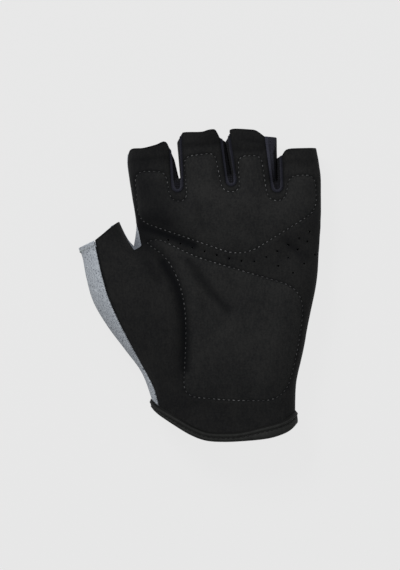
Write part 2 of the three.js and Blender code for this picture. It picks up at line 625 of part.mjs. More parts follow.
// Pads: slabs over the palm sheets, trimmed to their stitched outlines and thinner at the edge
function padOver(sheets, corners, segments) {
  const ring = easedOutline(corners).getSpacedPoints(segments).slice(0, -1);
  const line = [...ring, ring[0]].map((p) => p.toArray());
  const top = ({ q }) => PAD_LIFT + PAD_EDGE_THICKNESS + (PAD_THICKNESS - PAD_EDGE_THICKNESS)
    * THREE.MathUtils.smoothstep(distanceToLine(q, line), 0, 6);
  const slab = wallOf(sheets.flatMap(quadsOf), top, () => PAD_LIFT);
  const prism = new THREE.ExtrudeGeometry(new THREE.Shape(ring), { depth: 40, bevelEnabled: false });
  prism.translate(0, 0, 8);
  return geometryOf(solidOf(slab).intersect(solidOf(prism)));
}

// Binding: a folded tape over the wrist edge, following the panels it covers
function wristBinding(palmRows, backRows) {
  const places = (rows, wall) => rows[0].map((_, i) => ({
    edge: skin(rows[0][i]), next: skin(rows[1][i]), wall, angle: rollAngle(rows[0][i].q) }));
  const loop = [...places(palmRows, PALM_WALL), ...places(backRows, BACK_WALL).reverse()]
    .filter((place, i) => place.angle < 1.35 || i % 2 === 0);
  const { cap, cloth, clearance } = BINDING;
  const { smoothstep } = THREE.MathUtils;
  const rings = loop.map(({ edge, next, wall }) => {
    const out = edge.point.clone().sub(next.point);
    const leg = BINDING.leg + TURNED_UP.extra * smoothstep(edge.point.x, TURNED_UP.fromX, TURNED_UP.toX)
      * smoothstep(edge.point.z, 4, 11);
    const share = leg / out.length();
    out.normalize();
    const legNormal = edge.normal.clone().lerp(next.normal, share).normalize();
    const at = (height, reach) => edge.point.clone().addScaledVector(out, reach)
      .addScaledVector(reach < 0 ? legNormal : edge.normal, height);
    const [outer, inner] = [clearance + cloth, -wall - clearance - cloth];
    return [at(outer, -leg), at(outer, cap - 0.8), at(outer - 0.5, cap), at(inner + 0.5, cap),
      at(inner, cap - 0.8), at(inner, -leg), at(inner + cloth, -leg), at(inner + cloth, clearance),
      at(clearance, clearance), at(clearance, -leg)];
  });
  const size = rings[0].length;
  const faces = rings.flatMap((_, j) => Array.from({ length: size }, (__, i) => {
    const [a, b] = [j * size + i, j * size + (i + 1) % size];
    const [c, d] = [((j + 1) % rings.length) * size + (i + 1) % size, ((j + 1) % rings.length) * size + i];
    return [[a, b, c], [a, c, d]];
  })).flat();
  return geometryFrom(rings.flat(), faces);
}

const glove = new THREE.Group();
glove.name = 'fitness_glove';
glove.position.y = CENTRING;

const cloths = {
  suede: new THREE.MeshStandardMaterial({ color: 0x212121, roughness: 0.95, metalness: 0 }),
  mesh: new THREE.MeshStandardMaterial({ color: 0x262630, roughness: 0.9, metalness: 0 }),
  knit: new THREE.MeshStandardMaterial({ color: 0x949ca4, roughness: 0.9, metalness: 0 }),
  tape: new THREE.MeshStandardMaterial({ color: 0x2c2d2b, roughness: 0.7, metalness: 0 }),
};

function piece(name, geometry, material) {
  const mesh = new THREE.Mesh(geometry, material);
  mesh.name = name;
  glove.add(mesh);
}

const palm = palmSheets();
const back = backSheets();
const overTop = [...palm.sheets, palm.wrap.map((row) => row.slice(0, 4))];

const vents = VENT_ROWS.flatMap(({ holes, path }) => sample(curve(path), 0, 1, holes - 1));
const ventHoles = vents.map(([x, y]) => {
  const drill = new THREE.CylinderGeometry(VENT_RADIUS, VENT_RADIUS, 30, 8);
  drill.rotateX(Math.PI / 2);
  drill.translate(x, y, 25);
  return solidOf(drill);
});
const palmWall = solidOf(wallOf([...palm.sheets, palm.wrap].flatMap(quadsOf), () => 0, () => -PALM_WALL));
piece('palm_panel', geometryOf(palmWall.subtract(wasm.Manifold.union(ventHoles))), cloths.suede);
const backQuads = [...back.sheets, ...back.wraps].flatMap(quadsOf);
piece('back_panel', wallOf(backQuads, () => 0, () => -BACK_WALL), cloths.knit);
piece('thumb_gusset', wallOf(quadsOf(thumbGusset()), () => 0, () => -GUSSET_WALL), cloths.knit);
SLOTS.forEach((slot, i) => {
  const sheet = slotGusset(edgeLines[i], bulgeLines[i]);
  piece(`fourchette_${slot.name}`, wallOf(quadsOf(sheet), () => 0, () => -GUSSET_WALL), cloths.mesh);
});
piece('knuckle_pad', padOver(overTop, KNUCKLE_PAD, 78), cloths.suede);
piece('heel_pad', padOver(overTop, HEEL_PAD, 48), cloths.suede);
piece('wrist_binding', wristBinding(palm.wristRows, back.wristRows), cloths.tape);

export default glove;
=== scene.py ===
"""Looks of a left-hand fingerless fitness glove that lies palm up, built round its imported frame.

The glove is one hollow skin over its plan outline, and every panel is a stretch of that skin with a
wall of its own cloth. X runs from the thumb side to the little finger, Y from the wrist to the
fingertips and Z up. Tables and shapes are in millimetres. Meshes are scaled to metres when made.
"""

import math

import bpy
import numpy as np
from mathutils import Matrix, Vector, noise
from mathutils.geometry import delaunay_2d_cdt


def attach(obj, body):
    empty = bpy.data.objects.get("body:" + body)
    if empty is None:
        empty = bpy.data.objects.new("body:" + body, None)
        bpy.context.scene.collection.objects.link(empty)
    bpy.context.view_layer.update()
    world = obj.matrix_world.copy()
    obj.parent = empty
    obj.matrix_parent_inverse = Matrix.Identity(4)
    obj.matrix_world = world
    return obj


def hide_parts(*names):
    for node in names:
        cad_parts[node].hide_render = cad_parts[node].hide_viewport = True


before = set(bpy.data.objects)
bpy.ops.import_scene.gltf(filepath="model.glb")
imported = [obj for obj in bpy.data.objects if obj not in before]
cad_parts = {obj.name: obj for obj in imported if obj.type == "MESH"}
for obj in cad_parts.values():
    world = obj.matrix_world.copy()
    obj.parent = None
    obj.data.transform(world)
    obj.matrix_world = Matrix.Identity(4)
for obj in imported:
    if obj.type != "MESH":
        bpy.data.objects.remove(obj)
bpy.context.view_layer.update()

MM = 0.001
CENTRING = np.array([0.0, 0.6, 0.0])


def table(columns, rows):
    """Rows whose values have the names of the columns."""
    return [dict(zip(columns.split(), row)) for row in rows]


# Driving dimensions, as in the part's source
PALM_WALL = 1.6
BACK_WALL = 1.4
GUSSET_WALL = 1.2
BACK_RIM_DROP = 1.5
BINDING_BED = 1.9
ROLLED_EDGE = math.radians(50)
PALM_WRAP = math.radians(-25)
SEAM_ANGLE = math.radians(3.2)
GUSSET_ANGLE = math.radians(0.2)

# Fullness of the stuffed glove: height above the table, radius the side rolls over with, and the
# height at which the side stands furthest out
FULLNESS = table("at x y crown roll girdle", [
    ("index end", -28, 64, 19, 9.5, 8.5),
    ("middle end", 0, 71, 19.5, 9.5, 8.5),
    ("ring end", 26, 71, 19, 9.5, 8.5),
    ("little end", 53, 62, 17.5, 9, 8),
    ("index knuckle", -24, 38, 24, 13, 10),
    ("middle knuckle", 8, 34, 25.5, 14, 10),
    ("little knuckle", 55, 36, 22, 13, 9.5),
    ("palm hollow", 18, -4, 24.5, 20, 11),
    ("thenar", -24, -16, 29, 17, 12),
    ("hypothenar", 46, -26, 26.5, 17, 11.5),
    ("heel", 14, -52, 26.5, 17, 12),
    ("wrist", 13, -78, 24.5, 15, 12),
    ("thumb end", -51, 25, 21.5, 11, 10),
    ("thumb root", -44, 4, 26, 14, 11),
])
FULLNESS_REACH = 21

# Soft folds pressed into the palm side
FOLDS = table("name depth width path", [
    ("thumb groove", 1.9, 4.2, [(-20, 14), (-11, -2), (-8.5, -20), (-9.5, -38)]),
    ("palm crease", 1.1, 5, [(-7, 9), (4, -6), (12, -20)]),
    ("index crease", 1.2, 4, [(-33, 33), (-20, 26), (-6, 22)]),
    ("little crease", 0.9, 5, [(59, 24), (45, 15)]),
    ("index hem", 0.5, 2.2, [(-38, 62), (-17, 64)]),
    ("middle hem", 0.5, 2.2, [(-11, 71.5), (11, 73.5)]),
    ("ring hem", 0.6, 2.2, [(15, 71), (35, 71)]),
    ("little hem", 0.5, 2.2, [(44, 62), (63, 61.5)]),
])

# Sharper creases within those folds, and how much painted shade darkens the suede in each; those without
# depth are painted shade only
CREASES = table("name depth width shade path", [
    ("beside the heel pad", 1.1, 2.8, 0.85, [(-19, 11), (-12.3, -1), (-9.3, -12), (-8, -26), (-8, -44)]),
    ("from the thumb's crotch", 0.5, 3.2, 0.4, [(-34, 17.5), (-28, 11), (-22, 3)]),
    ("between the pads by the thumb", 0.3, 4.8, 0.65, [(-32, 34), (-31, 27), (-27, 22)]),
    ("tip of the heel pad", 0, 4, 0.25, [(-28, 21), (-20, 17)]),
    ("under the knuckle pad", 1.1, 2.5, 0.93, [(-34, 31.5), (-24, 28), (-14, 24.6), (-3, 20.5)]),
    ("corner of the knuckle pad", 0.6, 3.4, 0.5, [(-37, 39), (-28, 34.5), (-17, 32)]),
    ("across the heel pad", 0.8, 2.4, 0.5, [(-6, 12), (-2.5, 7.5), (3, -1), (9.5, -8), (14, -14)]),
    ("beside the air holes", 0.5, 2.4, 0.35, [(44, 24), (50, 19), (56, 14)]),
    ("middle knuckle", 0.35, 1.9, 0.2, [(-2, 45), (0, 38), (2, 30)]),
    ("index knuckle", 0.3, 11, 0.52, [(-32, 55), (-25, 44), (-17, 36)]),
    ("heel of the hand", 0.1, 15, 0.15, [(-14, -56), (20, -52), (44, -56)]),
    ("index fingertip", 0, 6, 0.22, [(-33, 69), (-20, 72)]),
    ("middle fingertip", 0, 6, 0.22, [(-4, 77), (7, 77)]),
    ("ring fingertip", 0, 6, 0.2, [(20, 76), (32, 75)]),
    ("index hem", 0.3, 1.2, 0.35, [(-36, 65.5), (-27, 66.3), (-17.5, 67)]),
    ("middle hem", 0.3, 1.2, 0.2, [(-9, 73), (2, 73.4), (10, 74.5)]),
    ("ring hem", 0.35, 1.2, 0.4, [(18, 70.8), (26, 70.2), (33, 70.8)]),
    ("upper ring hem", 0.25, 1.0, 0.3, [(23, 76.2), (33, 75)]),
    ("little hem", 0.3, 1.2, 0.2, [(45, 64.6), (61, 65)]),
])

# Plan outline where the glove stands furthest out
OUTLINE = dict(
    thumb_outer=[(-24.7, -64), (-30.7, -47.4), (-39.8, -34.7), (-49.3, -22), (-56.7, -9.3), (-60.4, 3.4),
                 (-62.3, 13.5), (-64.3, 19.3)],
    thumb_inner=[(-43, 33.4), (-41.6, 30.5), (-39.8, 26.8), (-37.6, 23.1), (-35.1, 20.4)],
    index_side=[(-35.1, 20.4), (-33.8, 29.4), (-34.2, 36.8), (-37.4, 55.4), (-38.6, 64), (-38.4, 69.2)],
    little_side=[(50.4, -72.4), (50.6, -60), (51.3, -49.5), (54.8, -34.7), (57.2, -21), (61.6, 0),
                 (63.1, 16), (64, 34), (64, 55.4), (63.1, 64.9), (61.7, 72.5)],
)
# Seams and edges of the palm panel, in plan
PALM_EDGES = dict(
    thumb_seam=[(-21.3, -67.4), (-24.1, -55.9), (-30.4, -43.2), (-37.8, -29.4), (-46.6, -10.1),
                (-50.8, 3.1), (-53.9, 16.4), (-55.4, 23.3)],
    thumb_inner=[(-34.7, 18.3), (-36.2, 20.6), (-38, 23.4), (-39.8, 26.6), (-42.9, 33.3)],
    index_side=[(-34.7, 18.3), (-31.3, 20.2), (-31.4, 22), (-32.4, 26.8), (-33.6, 32.1), (-34.1, 36.8),
                (-37.3, 55.4), (-38.4, 64), (-38, 69.2)],
)
WRIST_EDGE = dict(
    palm=[(-24.7, -64), (-21.3, -67.4), (-12.7, -73.1), (-4.8, -77.8), (3.2, -80.8), (12.7, -81.5),
          (23.9, -81), (34.5, -79.9), (41.5, -78.2), (46.8, -75.8), (50.4, -72.4)],
    back=[(-24.7, -64), (-10, -68.5), (13, -72), (36, -73), (50.4, -72.4)],
)
RIMS = dict(
    thumb=[(-55.4, 23.3), (-52, 26), (-47.6, 29.6), (-42.9, 33.3)],
    index=[(-38, 69.2), (-36.4, 71.8), (-30.1, 72.1), (-22.8, 74), (-19.1, 75.7), (-17.4, 75.1),
           (-16.3, 72.6)],
    middle=[(-9.8, 79.4), (-8.8, 80.4), (0.5, 80.6), (4.1, 81.6), (7, 82.1), (8.5, 81.5), (10.6, 77.6)],
    ring=[(15.6, 79.6), (16.4, 82.1), (27.3, 81.8), (30.3, 80.9), (34.2, 78.2)],
    little=[(43.3, 68.4), (44.4, 70.8), (46.5, 71.8), (53, 72.2), (58.9, 72.6)],
)
FINGERS = ["index", "middle", "ring", "little"]

# Slots between the fingers: where the panels are cut away (edges and floor), and where the gusset
# in the slot stands furthest into it (bulge)
SLOTS = table("name left_edge right_edge floor floor_radius left_bulge right_bulge bulge_floor", [
    ("index_middle", (-16.3, 72.6), (-9.8, 79.4), (-11.9, 51.9), 3.2, (-13.6, 66.3), (-12.2, 75.5),
     (-10.9, 56.7)),
    ("middle_ring", (10.6, 77.6), (15.6, 79.6), (16.5, 54.9), 3, (13, 75.8), (13.8, 75.8), (16.7, 58.6)),
    ("ring_little", (34.2, 78.2), (43.3, 68.4), (40.8, 51.8), 3.2, (40.3, 78), (41.1, 67), (41, 55.4)),
])
BULGE_RADIUS = 0.35

# Rows of air holes punched through the palm in the band between the two pads
VENT_RADIUS = 0.55
VENT_ROWS = table("holes path", [
    (13, [(-16.7, 23.4), (2.5, 17.3), (21.9, 12.3), (34, 14), (58, 27.8)]),
    (4, [(41.2, 9.7), (56.9, 22.6)]),
    (3, [(49, 6.1), (61.1, 15.7)]),
])

# Corners of the two pads' stitched outlines; ease is how far from the corner its curve begins
KNUCKLE_PAD = table("corner x y ease", [
    ("index, thumb side", -34.6, 59.6, 6),
    ("index, middle side", -17.9, 59.5, 5),
    ("first slot, index side", -15.6, 43.8, 5.5),
    ("first slot, middle side", -6.6, 43.8, 5.5),
    ("middle, index side", -8.8, 67.4, 5),
    ("middle, ring side", 7.9, 69.4, 4),
    ("second slot, middle side", 11.9, 48.8, 5),
    ("second slot, ring side", 21, 48.8, 5),
    ("ring, middle side", 20, 67.6, 4.5),
    ("ring, little side", 32.3, 68.2, 4.5),
    ("third slot, ring side", 35.9, 44.2, 6),
    ("third slot, little side", 45.2, 44.2, 5.5),
    ("little, ring side", 46.9, 57.2, 4.5),
    ("little, outer side", 61, 58, 6),
    ("outer side of the palm", 61.9, 39, 7),
    ("lowest point", 22.4, 14.3, 11),
    ("thumb side of the palm", -32.6, 33.5, 7),
])
HEEL_PAD = table("corner x y ease", [
    ("tip by the thumb", -28.8, 22.2, 2.5),
    ("top of the tip", -21.6, 24, 4),
    ("upper edge", -3, 14.6, 9),
    ("upper outer", 54.9, -2.6, 13),
    ("outer side", 53.4, -27, 14),
    ("lower outer", 45.1, -61, 12.5),
    ("lower edge", 20, -61.3, 12),
    ("lower inner", -8.8, -58.9, 8),
    ("inner side", -6.5, -11.5, 22),
    ("under the thumb", -15.6, 12.9, 11),
])

# Mesh spacing, and how far apart points stay in a grid and in the finer rings along seams
SPACING = 1.1
SEAM_SPACING = 0.85
GRID_CLEARANCE = 0.7
RING_CLEARANCE = 0.38
EQUILATERAL = 0.866


def unit(v):
    return v / np.linalg.norm(v, axis=-1, keepdims=True)


def mix(a, b, t):
    return a + (b - a) * t


def smoothstep(x, low, high):
    t = np.clip((x - low) / (high - low), 0, 1)
    return t * t * (3 - 2 * t)


def fading(distance, width):
    """1 at no distance, fading out over a width."""
    return np.exp(-(distance / width) ** 2)


def from_line(q, line):
    """Vectors to each plan point from each stretch of a line, and the share of the stretch they start at."""
    start, step = line[:-1], np.diff(line, axis=0)
    t = np.clip(((q[:, None] - start) * step).sum(-1) / (step ** 2).sum(-1), 0, 1)
    return q[:, None] - start - t[..., None] * step, t


def joined(*lines):
    """Lines that each start where the one before ends, as one line."""
    return np.vstack([lines[0], *[line[1:] for line in lines[1:]]])


class Curve:
    """A smooth plan curve through points, read by the share of its length."""

    def __init__(self, points):
        p = np.array(points, float)
        ends = np.vstack([p[:1], p, p[-1:]])
        t = np.linspace(0, 1, 40, endpoint=False)[:, None]
        spans = []
        for a, b, c, d in zip(ends, ends[1:], ends[2:], ends[3:]):
            v0, v1 = (c - a) / 2, (d - b) / 2
            spans.append(((2 * b - 2 * c + v0 + v1) * t - 3 * b + 3 * c - 2 * v0 - v1) * t * t + v0 * t + b)
        self.points = np.vstack([*spans, p[-1:]])
        steps = np.linalg.norm(np.diff(self.points, axis=0), axis=1)
        self.length = steps.sum()
        self.shares = np.concatenate([[0], np.cumsum(steps)]) / self.length

    def at(self, shares):
        return np.stack([np.interp(shares, self.shares, self.points[:, k]) for k in (0, 1)], -1)

    def share_at(self, axis, value):
        """Where one coordinate, growing along the curve, reaches a value."""
        return np.interp(value, self.points[:, axis], self.shares)

    def walk(self, spacing=SPACING, start=0.0, end=1.0):
        """Points at an even spacing."""
        count = max(2, round(abs(end - start) * self.length / spacing))
        return self.at(np.linspace(start, end, count + 1))


outline = {name: Curve(points) for name, points in OUTLINE.items()}
palm_edges = {name: Curve(points) for name, points in PALM_EDGES.items()}
wrist_edges = {name: Curve(points) for name, points in WRIST_EDGE.items()}
rims = {name: Curve(points) for name, points in RIMS.items()}


def straight(start, end, spacing=SPACING):
    count = max(2, round(math.dist(start, end) / spacing))
    return mix(np.array(start, float), np.array(end, float), np.linspace(0, 1, count + 1)[:, None])


def slot_line(left, floor, radius, right, turn_rows=16):
    """A line round a slot: down the left finger, round the floor and up the right finger."""
    left, floor, right = (np.array(p, float) for p in (left, floor, right))
    down = math.atan2(*(floor - (left + right) / 2)[::-1])
    angles = down - math.pi / 2 + math.pi * np.linspace(0, 1, turn_rows + 1)
    turn = floor + radius * np.stack([np.cos(angles), np.sin(angles)], -1)
    rows = np.linspace(0, 1, 25)[:, None]
    return joined(mix(left, turn[0], rows), turn, mix(turn[-1], right, rows))


edge_lines = [slot_line(s["left_edge"], s["floor"], s["floor_radius"], s["right_edge"]) for s in SLOTS]
bulge_lines = [slot_line(s["left_bulge"], s["bulge_floor"], BULGE_RADIUS, s["right_bulge"]) for s in SLOTS]


# The skin of the glove over its plan

BEYOND = 16
NEAR_SIDE = 0.3
SOFTNESS = 6


class Side:
    """A side of the glove as a line that runs past its openings, with the direction into the glove."""

    def __init__(self, points, inward):
        first, end = unit(points[0] - points[1]), unit(points[-1] - points[-2])
        self.line = np.vstack([points[0] + first * BEYOND, points, points[-1] + end * BEYOND])
        along = unit(np.diff(self.line, axis=0))
        across = np.stack([-along[:, 1], along[:, 0]], -1) * inward
        self.normals = unit(np.vstack([across[:1], across[:-1] + across[1:], across[-1:]]))

    def nearest(self, q):
        """Distance of each plan point from the side, the direction into the glove and the nearest point."""
        away, t = from_line(q, self.line)
        rows, best = np.arange(len(q)), np.argmin((away ** 2).sum(-1), axis=1)
        away, t = away[rows, best], t[rows, best][:, None]
        normal = mix(self.normals[best], self.normals[best + 1], t)
        facing = np.where((away * normal).sum(-1) < 0, -1, 1)[:, None]
        direction = unit(away * facing + normal * NEAR_SIDE)
        return np.linalg.norm(away, axis=1), direction, mix(self.line[best], self.line[best + 1], t)


thumb_side = Side(outline["thumb_outer"].walk(2.5), -1)
crotch_side = Side(joined(outline["thumb_inner"].walk(1), outline["index_side"].walk(1.5)), -1)
little_side = Side(outline["little_side"].walk(3), 1)
sides = [thumb_side, crotch_side, little_side, *[Side(line, -1) for line in bulge_lines]]


def from_sides(q):
    """Distance from the sides, softened where two are equally near, and the direction into the glove."""
    nearest = [side.nearest(q)[:2] for side in sides]
    parts = np.maximum(np.stack([distance for distance, _ in nearest]), 1e-4)
    distance = (parts ** -SOFTNESS).sum(0) ** (-1 / SOFTNESS)
    weights = (distance / parts) ** (SOFTNESS + 1)
    return distance, (weights[..., None] * np.stack([direction for _, direction in nearest])).sum(0)


def fullness(q):
    """Crown, roll and girdle at each plan point."""
    places = np.array([(f["x"], f["y"]) for f in FULLNESS], float)
    values = np.array([(f["crown"], f["roll"], f["girdle"]) for f in FULLNESS], float)
    weights = np.exp(-((q[:, None] - places) ** 2).sum(-1) / FULLNESS_REACH ** 2) + 1e-9
    return (weights @ values / weights.sum(1, keepdims=True)).T


def distance_to_line(q, line):
    return np.sqrt((from_line(q, line)[0] ** 2).sum(-1).min(1))


fold_lines = [(fold, Curve(fold["path"]).walk(2)) for fold in FOLDS + CREASES]


def fold_depth(q):
    return sum(fold["depth"] * fading(distance_to_line(q, line), fold["width"]) for fold, line in fold_lines)


def crease_shade(q):
    """Share of painted shade that darkens the suede in the creases and along the stitched grooves, over plan
    points.
    """
    light = 1 - GROOVE_SHADE * fading(pad_depth(q), GROOVE_SHADE_WIDTH)
    for crease, line in fold_lines[len(FOLDS):]:
        light *= 1 - crease["shade"] * fading(distance_to_line(q, line), crease["width"])
    return 1 - light


def skin(q, side):
    """Points of the skin over plan points, on the palm side (+1) or the back (-1), and their normals."""
    crown, roll, girdle = fullness(q)
    distance, direction = from_sides(q)
    cosine = 1 - np.minimum(distance / roll, 1)
    sine = np.sqrt(1 - cosine ** 2)
    rise = np.where(side > 0, crown - girdle, girdle)
    binding_lift = BINDING_BED * np.clip((-60 - q[:, 1]) / 5, 0, 1)
    shift = np.where(side > 0, -fold_depth(q), binding_lift)
    height = girdle + side * rise * sine + shift * sine
    normal = unit(np.column_stack([-direction * (cosine / roll)[:, None], side * sine / rise]))
    return np.column_stack([q, height]), normal


def roll_angle(q):
    """How far plan points have rolled in from the side."""
    return np.arccos(1 - np.minimum(from_sides(q)[0] / fullness(q)[1], 1))


def rolled_to(side_points, edge_points, angle):
    """Plan points between a side and an edge further in that have rolled by the given angle."""
    low, high = np.zeros(len(side_points)), np.ones(len(side_points))
    for _ in range(16):
        middle = (low + high) / 2
        short = roll_angle(mix(side_points, edge_points, middle[:, None])) < angle
        low, high = np.where(short, middle, low), np.where(short, high, middle)
    return mix(side_points, edge_points, ((low + high) / 2)[:, None])


def rolled_edge(side, points):
    """Points the rolled edge's angle in from the parts of a side that are nearest to the given ones."""
    _, direction, nearest = side.nearest(points)
    return nearest + direction * (fullness(nearest)[1] * (1 - math.cos(ROLLED_EDGE)))[:, None]


# Plan shapes

def on_wrist(x, side):
    """Plan points of the wrist's edge at the given x, on the palm side (+1) or the back (-1)."""
    edge = wrist_edges["palm" if side > 0 else "back"]
    return edge.at(edge.share_at(0, x))


def across_side(palm_edge, side_points, back_edge, angles):
    """Rows of plan points across a side at the given roll angles, positive towards the palm."""
    angles = np.broadcast_to(angles, (len(side_points), np.shape(angles)[-1]))
    columns = []
    for angle in angles.T:
        towards = np.where((angle > 0)[:, None], palm_edge, back_edge)
        columns.append(rolled_to(side_points, towards, np.abs(angle)))
    return np.stack(columns, 1), np.where(angles > 0, 1, -1)


def with_wrist_row(q, side):
    """Rows of plan points with the first row moved onto the wrist's edge."""
    for column, on_side in enumerate(side[0]):
        q[0, column] = on_wrist(q[0, column, 0], on_side)
    return q, side


def with_shoulder(q, side_of, shoulder, side):
    """Rows round a side joined to a panel's shoulder, which comes first on the palm and last on the back."""
    own = np.full((len(q), 1), side)
    order = slice(None, None, side)
    joined_q = np.concatenate([shoulder[:, None], q][order], axis=1)
    return joined_q, np.concatenate([own, side_of][order], axis=1)


def rim_line(finger, start, end):
    """A finger's rim, shifted to run from one point to another."""
    line = rims[finger].walk()
    shares = np.linspace(0, 1, len(line))[:, None]
    return line + mix(start - line[0], end - line[-1], shares)


def lowered(line, drop):
    """A slot's line with its two ends lower by a drop, fading out down the slot."""
    fade = smoothstep(np.abs(np.linspace(-1, 1, len(line))), 0.6, 1)
    return line - np.column_stack([np.zeros(len(line)), drop * fade])


def comb(left_end, right_end, drop=0.0):
    """The edge over the fingers: four rims and the three slots between them."""
    slots = [lowered(line, drop) for line in edge_lines]
    starts = [left_end, *[line[-1] for line in slots]]
    ends = [*[line[0] for line in slots], right_end]
    parts = []
    for i, finger in enumerate(FINGERS):
        parts.append(rim_line(finger, starts[i], ends[i]))
        parts.extend(slots[i:i + 1])
    return joined(*parts)


def eased_outline(corners, spacing=SEAM_SPACING):
    """A closed plan line, without its last point, whose corners are eased into curves."""
    places = np.array([(c["x"], c["y"]) for c in corners], float)
    parts = []
    for i, corner in enumerate(corners):
        here = places[i]
        reaches = []
        for other in (places[i - 1], places[(i + 1) % len(corners)]):
            length = math.dist(here, other)
            reaches.append(here + (other - here) * min(corner["ease"], length / 2) / length)
        t = np.linspace(0, 1, 24)[:, None]
        parts.append((1 - t) ** 2 * reaches[0] + 2 * t * (1 - t) * here + t ** 2 * reaches[1])
    line = np.vstack([*parts, parts[0][:1]])
    lengths = np.concatenate([[0], np.cumsum(np.linalg.norm(np.diff(line, axis=0), axis=1))])
    even = np.linspace(0, lengths[-1], round(lengths[-1] / spacing) + 1)[:-1]
    return np.stack([np.interp(even, lengths, line[:, k]) for k in (0, 1)], -1)


def inside(q, loop):
    """Whether plan points lie inside a closed line."""
    x, y = q[:, :1], q[:, 1:]
    ax, ay = loop.T
    bx, by = np.roll(loop, -1, axis=0).T
    crosses = (ay > y) != (by > y)
    rise = np.where(by == ay, 1, by - ay)
    return (crosses & (x < ax + (y - ay) * (bx - ax) / rise)).sum(1) % 2 == 1


def depth_inside(q, loop):
    """Distance of plan points from a closed line, positive inside it."""
    distance = distance_to_line(q, np.vstack([loop, loop[:1]]))
    return np.where(inside(q, loop), distance, -distance)


def offset_loop(loop, distance):
    """A closed line moved inwards (or outwards, if negative)."""
    along = unit(np.roll(loop, -1, axis=0) - np.roll(loop, 1, axis=0))
    across = np.stack([-along[:, 1], along[:, 0]], -1)
    area = np.cross(loop, np.roll(loop, -1, axis=0)).sum()
    return loop + across * distance * np.sign(area)


def spread_out(fixed, candidates, clearance):
    """The candidates that stand clear of the fixed points and of each other."""
    cells = {}
    kept = []
    for point, is_fixed in [*[(p, True) for p in fixed], *[(p, False) for p in candidates]]:
        column, row = int(point[0] // clearance), int(point[1] // clearance)
        near = [other for i in (-1, 0, 1) for j in (-1, 0, 1)
                for other in cells.get((column + i, row + j), ())]
        if not is_fixed:
            if any((x - point[0]) ** 2 + (y - point[1]) ** 2 < clearance ** 2 for x, y in near):
                continue
            kept.append(point)
        cells.setdefault((column, row), []).append(point)
    return np.array(kept).reshape(-1, 2)


def triangulated(boundary, loops=(), rings=(), holes=()):
    """Plan points and triangles inside a closed boundary that keep the closed loops as edges."""
    fixed = np.vstack([boundary, *loops, *holes])
    edges = []
    first = 0
    for loop in (boundary, *loops, *holes):
        index = np.arange(first, first + len(loop))
        edges.extend(zip(index.tolist(), np.roll(index, -1).tolist()))
        first += len(loop)
    low, high = boundary.min(0), boundary.max(0)
    x, y = np.meshgrid(np.arange(low[0], high[0], SPACING),
                       np.arange(low[1], high[1], SPACING * EQUILATERAL))
    x = x + (np.arange(len(x)) % 2)[:, None] * SPACING / 2
    q = fixed
    grid = np.column_stack([x.ravel(), y.ravel()])
    for candidates, clearance in [*[(ring, RING_CLEARANCE) for ring in rings], (grid, GRID_CLEARANCE)]:
        q = np.vstack([q, spread_out(q, candidates[inside(candidates, boundary)], clearance)])
    _, _, faces, origins, _, _ = delaunay_2d_cdt([Vector(p) for p in q], edges, [], 1, 1e-5, True)
    source = np.array([ids[0] for ids in origins])
    faces = source[np.array([list(face) for face in faces])]
    centres = q[faces].mean(1)
    kept = inside(centres, boundary)
    for hole in holes:
        kept &= np.linalg.norm(centres - hole.mean(0), axis=1) > VENT_RADIUS * 0.8
    return q, faces[kept].tolist()


def along_side(side, depths, spacing=SPACING):
    """Rows of plan points at several depths in from a side."""
    line = Curve(side.line[1:-1]).walk(spacing)
    _, direction, nearest = side.nearest(line)
    return [nearest + direction * depth for depth in depths]


# Sheets: plan points, the side of the glove that each is on, and faces wound outwards

# Degrees that a wall's rounded rim has turned at each of its rows
RIM_TURNS = (0, 30, 60, 90, 90, 60, 30, 0)


def sheet(q, side, faces):
    side = np.broadcast_to(side, len(q))
    points, normals = skin(q, side)
    corners = np.array([face[:3] for face in faces])
    a, b, c = points[corners].transpose(1, 0, 2)
    facing = (np.cross(b - a, c - a) * normals[corners[:, 0]]).sum()
    return q, side, faces if facing > 0 else [face[::-1] for face in faces]


def strip(q, side):
    """A sheet of rows of plan points."""
    rows, columns = q.shape[:2]
    index = np.arange(rows * columns).reshape(rows, columns)
    faces = np.stack([index[:-1, :-1], index[:-1, 1:], index[1:, 1:], index[1:, :-1]], -1)
    return sheet(q.reshape(-1, 2), np.asarray(side).reshape(-1), faces.reshape(-1, 4).tolist())


def welded(sheets):
    """Several sheets as one, with the points that they share merged."""
    q = np.vstack([sheet_q for sheet_q, _, _ in sheets])
    side = np.concatenate([sheet_side for _, sheet_side, _ in sheets])
    keys = np.column_stack([np.round(q * 500), side])
    _, first, merged = np.unique(keys, axis=0, return_index=True, return_inverse=True)
    merged = merged.reshape(-1)
    faces, start = [], 0
    for sheet_q, _, sheet_faces in sheets:
        for face in sheet_faces:
            ids = list(dict.fromkeys(merged[i + start] for i in face))
            if len(ids) > 2:
                faces.append(ids)
        start += len(sheet_q)
    return q[first], side[first], faces


def read(value, *places):
    """A value at each place, from a function of the places or the same everywhere."""
    return value(*places) if callable(value) else np.full(len(places[0]), float(value))


